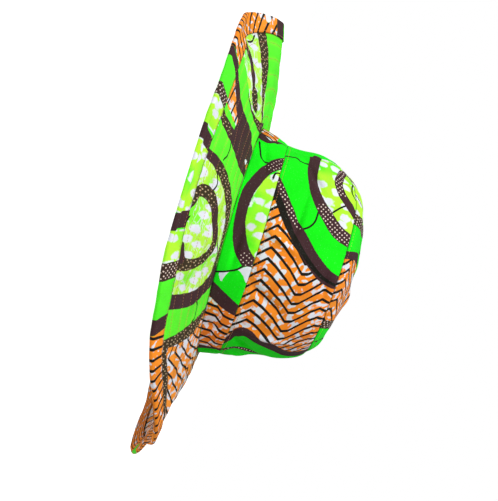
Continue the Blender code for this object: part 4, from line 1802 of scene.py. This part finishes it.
@dataclass
class CrownTip:
    """The domed top panel of the crown.

    Each row of seam gaps is a turn in degrees and the gap in plan that the panel's edge keeps there,
    in mm. Rises are in metres, and spreads and insets in mm.
    """

    shape: HatShape
    columns: int = 420
    rows: int = 64
    seam_gaps: Points = (
        (0, 0.07), (15, 0.07), (30, 0.09), (45, 0.13), (60, 0.17), (75, 0.24), (90, 0.33), (105, 0.32),
        (120, 0.26), (135, 0.22), (150, 0.10), (165, 0.06), (180, 0.05), (195, 0.06), (210, 0.13),
        (225, 0.27), (240, 0.40), (255, 0.38), (270, 0.36), (285, 0.28), (300, 0.20), (315, 0.13),
        (330, 0.09), (345, 0.07), (360, 0.07),
    )
    calm_edge: float = 7.0
    pucker_rise: float = 0.00010
    pucker_inset: float = 4.0
    pucker_spread: float = 4.0
    edge_sink: float = 0.0006
    edge_spread: float = 1.7
    stitch_inset: float = 3.0
    stitch_sink: float = 0.00022
    stitch_spread: float = 0.7
    bake_middle: tuple[float, float] = (-6.0, 0.0)
    bake_size: tuple[float, float] = (164.0, 134.0)
    flat: tuple[float, float] = (0.170, 0.140)
    flat_area: float = 0.0187
    finish: PrintedCotton = PrintedCotton("tip_cotton", 320.0, chevron_pitch=8.8, olive_ground=0.8)
    zigzag: Zigzag = Zigzag(
        ((-70, 10), (-54, 0), (-40, 9), (-26, 22), (-12, 10), (4, 0), (20, 12), (36, 24), (54, 10)), 8.8
    )
    motifs: tuple[Motif, ...] = (
        Lobe(Ink.LIME, ((-104, -84), (-54, -84), (-48, -52), (-42, -20), (-46, 16), (-62, 46), (-104, 70))),
        Ribbon(Ink.BROWN, ((-50, -80, 9), (-44, -50, 10), (-38, -20, 11), (-43, 15, 10), (-58, 44, 9),
            (-78, 66, 7))),
        Ribbon(Ink.DOTS, ((-50, -80, 11), (-44, -50, 12), (-38, -20, 13), (-42, 10, 11))),
        Ribbon(Ink.BROWN, ((-98, -40, 5), (-82, -30, 7), (-68, -20, 8), (-62, -2, 7), (-72, 18, 6),
            (-90, 30, 5))),
        Ribbon(Ink.DOTS, ((-82, -30, 9), (-68, -20, 10), (-62, -2, 9))),
        Tendril(((-74, -48), (-62, -40), (-54, -28))),
        Tendril(((-30, -30), (-22, -20), (-20, -6), (-28, 8))),
        Lobe(Ink.ORANGE, ((-10, -84), (-14, -44), (-6, -14), (14, 8), (22, 34), (22, 84), (60, 84), (56, 30),
            (46, 0), (42, -30), (44, -84))),
        Ribbon(Ink.BROWN, ((-12, -84, 6), (-16, -44, 7), (-8, -14, 8), (12, 9, 9), (20, 34, 9),
            (20, 84, 8))),
        Ribbon(Ink.BROWN, ((46, -84, 8), (46, -54, 8), (44, -30, 8), (49, 0, 8), (58, 30, 8), (60, 84, 8))),
        Ribbon(Ink.DOTS, ((46, -84, 9), (46, -54, 9), (44, -30, 9), (49, 0, 9))),
        Tendril(((62, -30), (58, -14), (64, 4), (76, 8))),
        Lobe(Ink.LIME, ((-36, 84), (-30, 52), (-14, 36), (0, 48), (4, 84))),
        Ribbon(Ink.BROWN, ((-38, 84, 7), (-31, 52, 8), (-14, 34, 9), (2, 47, 8), (6, 84, 7))),
    )

    def surface(self, turn: Array, share: Array) -> tuple[Array, Array, Array]:
        """The panel's outer face.

        Args:
            turn: Turns in degrees.
            share: Shares of the way from its middle out to the seam.

        Returns:
            The points, their normals and the cloth's own place in mm.
        """
        shape = self.shape
        points = shape.tip(turn, share)
        plan = oval(turn, shape.seam_half_length, shape.seam_half_width, shape.seam_centre) / MM
        centre = np.array([shape.seam_centre / MM, 0.0])
        cloth = centre * (1.0 - share)[..., None] + plan * share[..., None]
        out = shape.tip(turn, share + shape.normal_step) - shape.tip(turn, share - shape.normal_step)
        wide = np.maximum(share, 0.02)
        along = shape.tip(turn + 1.0, wide) - shape.tip(turn - 1.0, wide)
        normals = unit(np.cross(out, along))
        edge = (1.0 - share) * shape.seam_half_width / MM
        push = shape.tip_rumple.at(cloth[..., 0], cloth[..., 1]) * ramp(edge, self.calm_edge)
        pucker = np.cos(95 * np.radians(turn)) + np.cos(71 * np.radians(turn) + 1.0)
        push = push + self.pucker_rise * pucker * bell(edge - self.pucker_inset, self.pucker_spread)
        push = push - self.edge_sink * bell(edge, self.edge_spread)
        push = push - self.stitch_sink * bell(edge - self.stitch_inset, self.stitch_spread)
        return points + normals * push[..., None], normals, cloth

    def build(self) -> bpy.types.Object:
        """Build the top panel from its edge in to its middle.

        Returns:
            The panel.
        """
        grid = ClothGrid("crown_tip_cloth", self.columns, self.rows)
        turn = grid.turns()
        gap = np.interp(np.mod(turn, SHUT_LOOP), *zip(*self.seam_gaps)) * MM
        edge = 1.0 - gap / self.shape.seam_half_width
        share = edge * np.linspace(1.0, 0.0, self.rows + 1)[None, :]
        points, _, cloth = self.surface(turn, share)
        points[:, -1] = points[0, -1]
        layout = PrintLayout(cloth.reshape(-1, 2))
        layout.paint(self.motifs)
        layout.number_lines(self.zigzag)
        layout.fields[PrintLayout.SEAM] = ((edge - share) * self.shape.seam_half_width / MM).ravel()
        bake = (cloth - np.array(self.bake_middle)) / np.array(self.bake_size) + 0.5
        piece = grid.build(points, cloth, layout.fields, bake)
        thicken(piece, self.shape.crown_wall)
        dress(piece, "crown_tip", self.finish.material())
        return piece

    def stitch(self, thread: bpy.types.Material) -> list[bpy.types.Object]:
        """Topstitch the top panel just inside its seam.

        Args:
            thread: The thread's material.

        Returns:
            The stitches as one piece.
        """
        turn = stitched_turns()
        share = np.full_like(turn, 1.0 - self.stitch_inset * MM / self.shape.seam_half_width)
        points, normals, _ = self.surface(turn, share)
        return [sew("tip_stitches", StitchRow().placements(points, normals), thread)]


@dataclass(frozen=True)
class Studio:
    """White floor, soft white light and the camera.

    Elevation is in degrees. Roll gives the picture's right-hand side, along the hat and upwards.
    """

    target: tuple[float, float, float] = (0.0001, 0.0, 0.057)
    distance: float = 1.2
    elevation: float = 0.83
    roll: tuple[float, float] = (-0.281, 0.9597)
    lens: float = 100.26
    sensor: float = 36.0
    floor_size: float = 2.5
    floor_glow: float = 0.34
    floor_seen: float = 0.7
    sky_strength: float = 0.34
    key_power: float = 21.0
    key_size: float = 0.8
    key_place: tuple[float, float, float] = (-0.75, -0.95, 1.15)
    floor_drop: float = 0.0004

    def build(self) -> None:
        """Set up the floor, the light and the camera."""
        self.floor()
        self.sky()
        self.key()
        self.camera()
        bpy.context.scene.view_settings.view_transform = "Standard"

    def floor(self) -> None:
        """A plain white surface under the hat."""
        mesh = bpy.data.meshes.new("floor")
        bm = bmesh.new()
        below = Matrix.Translation((0.0, 0.0, -self.floor_drop))
        bmesh.ops.create_grid(bm, x_segments=2, y_segments=2, size=self.floor_size, matrix=below)
        bm.to_mesh(mesh)
        bm.free()
        material = bpy.data.materials.new("floor_paper")
        bench = NodeBench(material)
        shader = bench.add("ShaderNodeBsdfPrincipled")
        shader.inputs["Base Color"].default_value = (0.55, 0.55, 0.55, 1.0)
        shader.inputs["Roughness"].default_value = 1.0
        shader.inputs["Specular IOR Level"].default_value = 0.0
        shader.inputs["Emission Color"].default_value = (1.0, 1.0, 1.0, 1.0)
        seen = bench.add("ShaderNodeLightPath").outputs["Is Camera Ray"]
        glow = bench.math("ADD", bench.math("MULTIPLY", seen, self.floor_seen), self.floor_glow)
        bench.plug(glow, shader.inputs["Emission Strength"])
        clear = bench.add("ShaderNodeBsdfTransparent")
        pick = bench.add("ShaderNodeMixShader")
        bench.plug(bench.add("ShaderNodeNewGeometry").outputs["Backfacing"], pick.inputs[0])
        bench.plug(shader.outputs[0], pick.inputs[1])
        bench.plug(clear.outputs[0], pick.inputs[2])
        out = bench.add("ShaderNodeOutputMaterial")
        bench.plug(pick.outputs[0], out.inputs["Surface"])
        mesh.materials.append(material)
        floor = bpy.data.objects.new("floor", mesh)
        bpy.context.scene.collection.objects.link(floor)

    def sky(self) -> None:
        """Even white light from all round."""
        world = bpy.data.worlds.new("studio")
        bench = NodeBench(world)
        background = bench.add("ShaderNodeBackground")
        background.inputs["Color"].default_value = (1.0, 1.0, 1.0, 1.0)
        seen = bench.add("ShaderNodeLightPath").outputs["Is Camera Ray"]
        bench.plug(bench.math("MAXIMUM", seen, self.sky_strength), background.inputs["Strength"])
        out = bench.add("ShaderNodeOutputWorld")
        bench.plug(background.outputs[0], out.inputs["Surface"])
        bpy.context.scene.world = world

    def key(self) -> None:
        """A wide soft light from above, before the hat's front and on the camera's side."""
        lamp = bpy.data.lights.new("key", "AREA")
        lamp.energy = self.key_power
        lamp.size = self.key_size
        light = bpy.data.objects.new("key", lamp)
        place = Vector(self.key_place)
        light.location = place
        light.rotation_mode = "QUATERNION"
        light.rotation_quaternion = (Vector(self.target) - place).to_track_quat("-Z", "Y")
        bpy.context.scene.collection.objects.link(light)

    def camera(self) -> None:
        """The photograph's view: from the near side, turned so that the crown points right."""
        lift = math.radians(self.elevation)
        upright = Vector((0.0, math.sin(lift), math.cos(lift)))
        across = Vector((1.0, 0.0, 0.0))
        right = across * self.roll[0] + upright * self.roll[1]
        up = -(across * self.roll[1] - upright * self.roll[0])
        back = right.cross(up)
        place = Vector(self.target) - Vector((0.0, math.cos(lift), -math.sin(lift))) * self.distance
        lens = bpy.data.cameras.new("camera")
        lens.sensor_width = self.sensor
        lens.lens = self.lens
        lens.clip_start = 0.05
        camera = bpy.data.objects.new("camera", lens)
        camera.matrix_world = Matrix.Translation(place) @ Matrix((right, up, back)).transposed().to_4x4()
        bpy.context.scene.collection.objects.link(camera)
        bpy.context.scene.camera = camera


def main() -> None:
    """Build the hat's panels and stitches and set up the studio."""
    logging.basicConfig(level=logging.INFO, format="%(message)s")
    shape = HatShape()
    thread = SewingThread().material()
    Studio().build()
    brim = Brim(shape)
    binding = BrimBinding(shape)
    band = CrownBand(shape)
    side = CrownSide(shape)
    tip = CrownTip(shape)
    panels = (brim, binding, band, side, tip)
    for panel, held in zip(panels, ("stretched", "folded", "stretched", "draped", "draped")):
        piece = panel.build()
        stitches = panel.stitch(thread) if hasattr(panel, "stitch") else []
        log.info("%s: %d faces, %d stitch pieces", piece.name, len(piece.data.polygons), len(stitches))


if __name__ == "__main__":
    main()
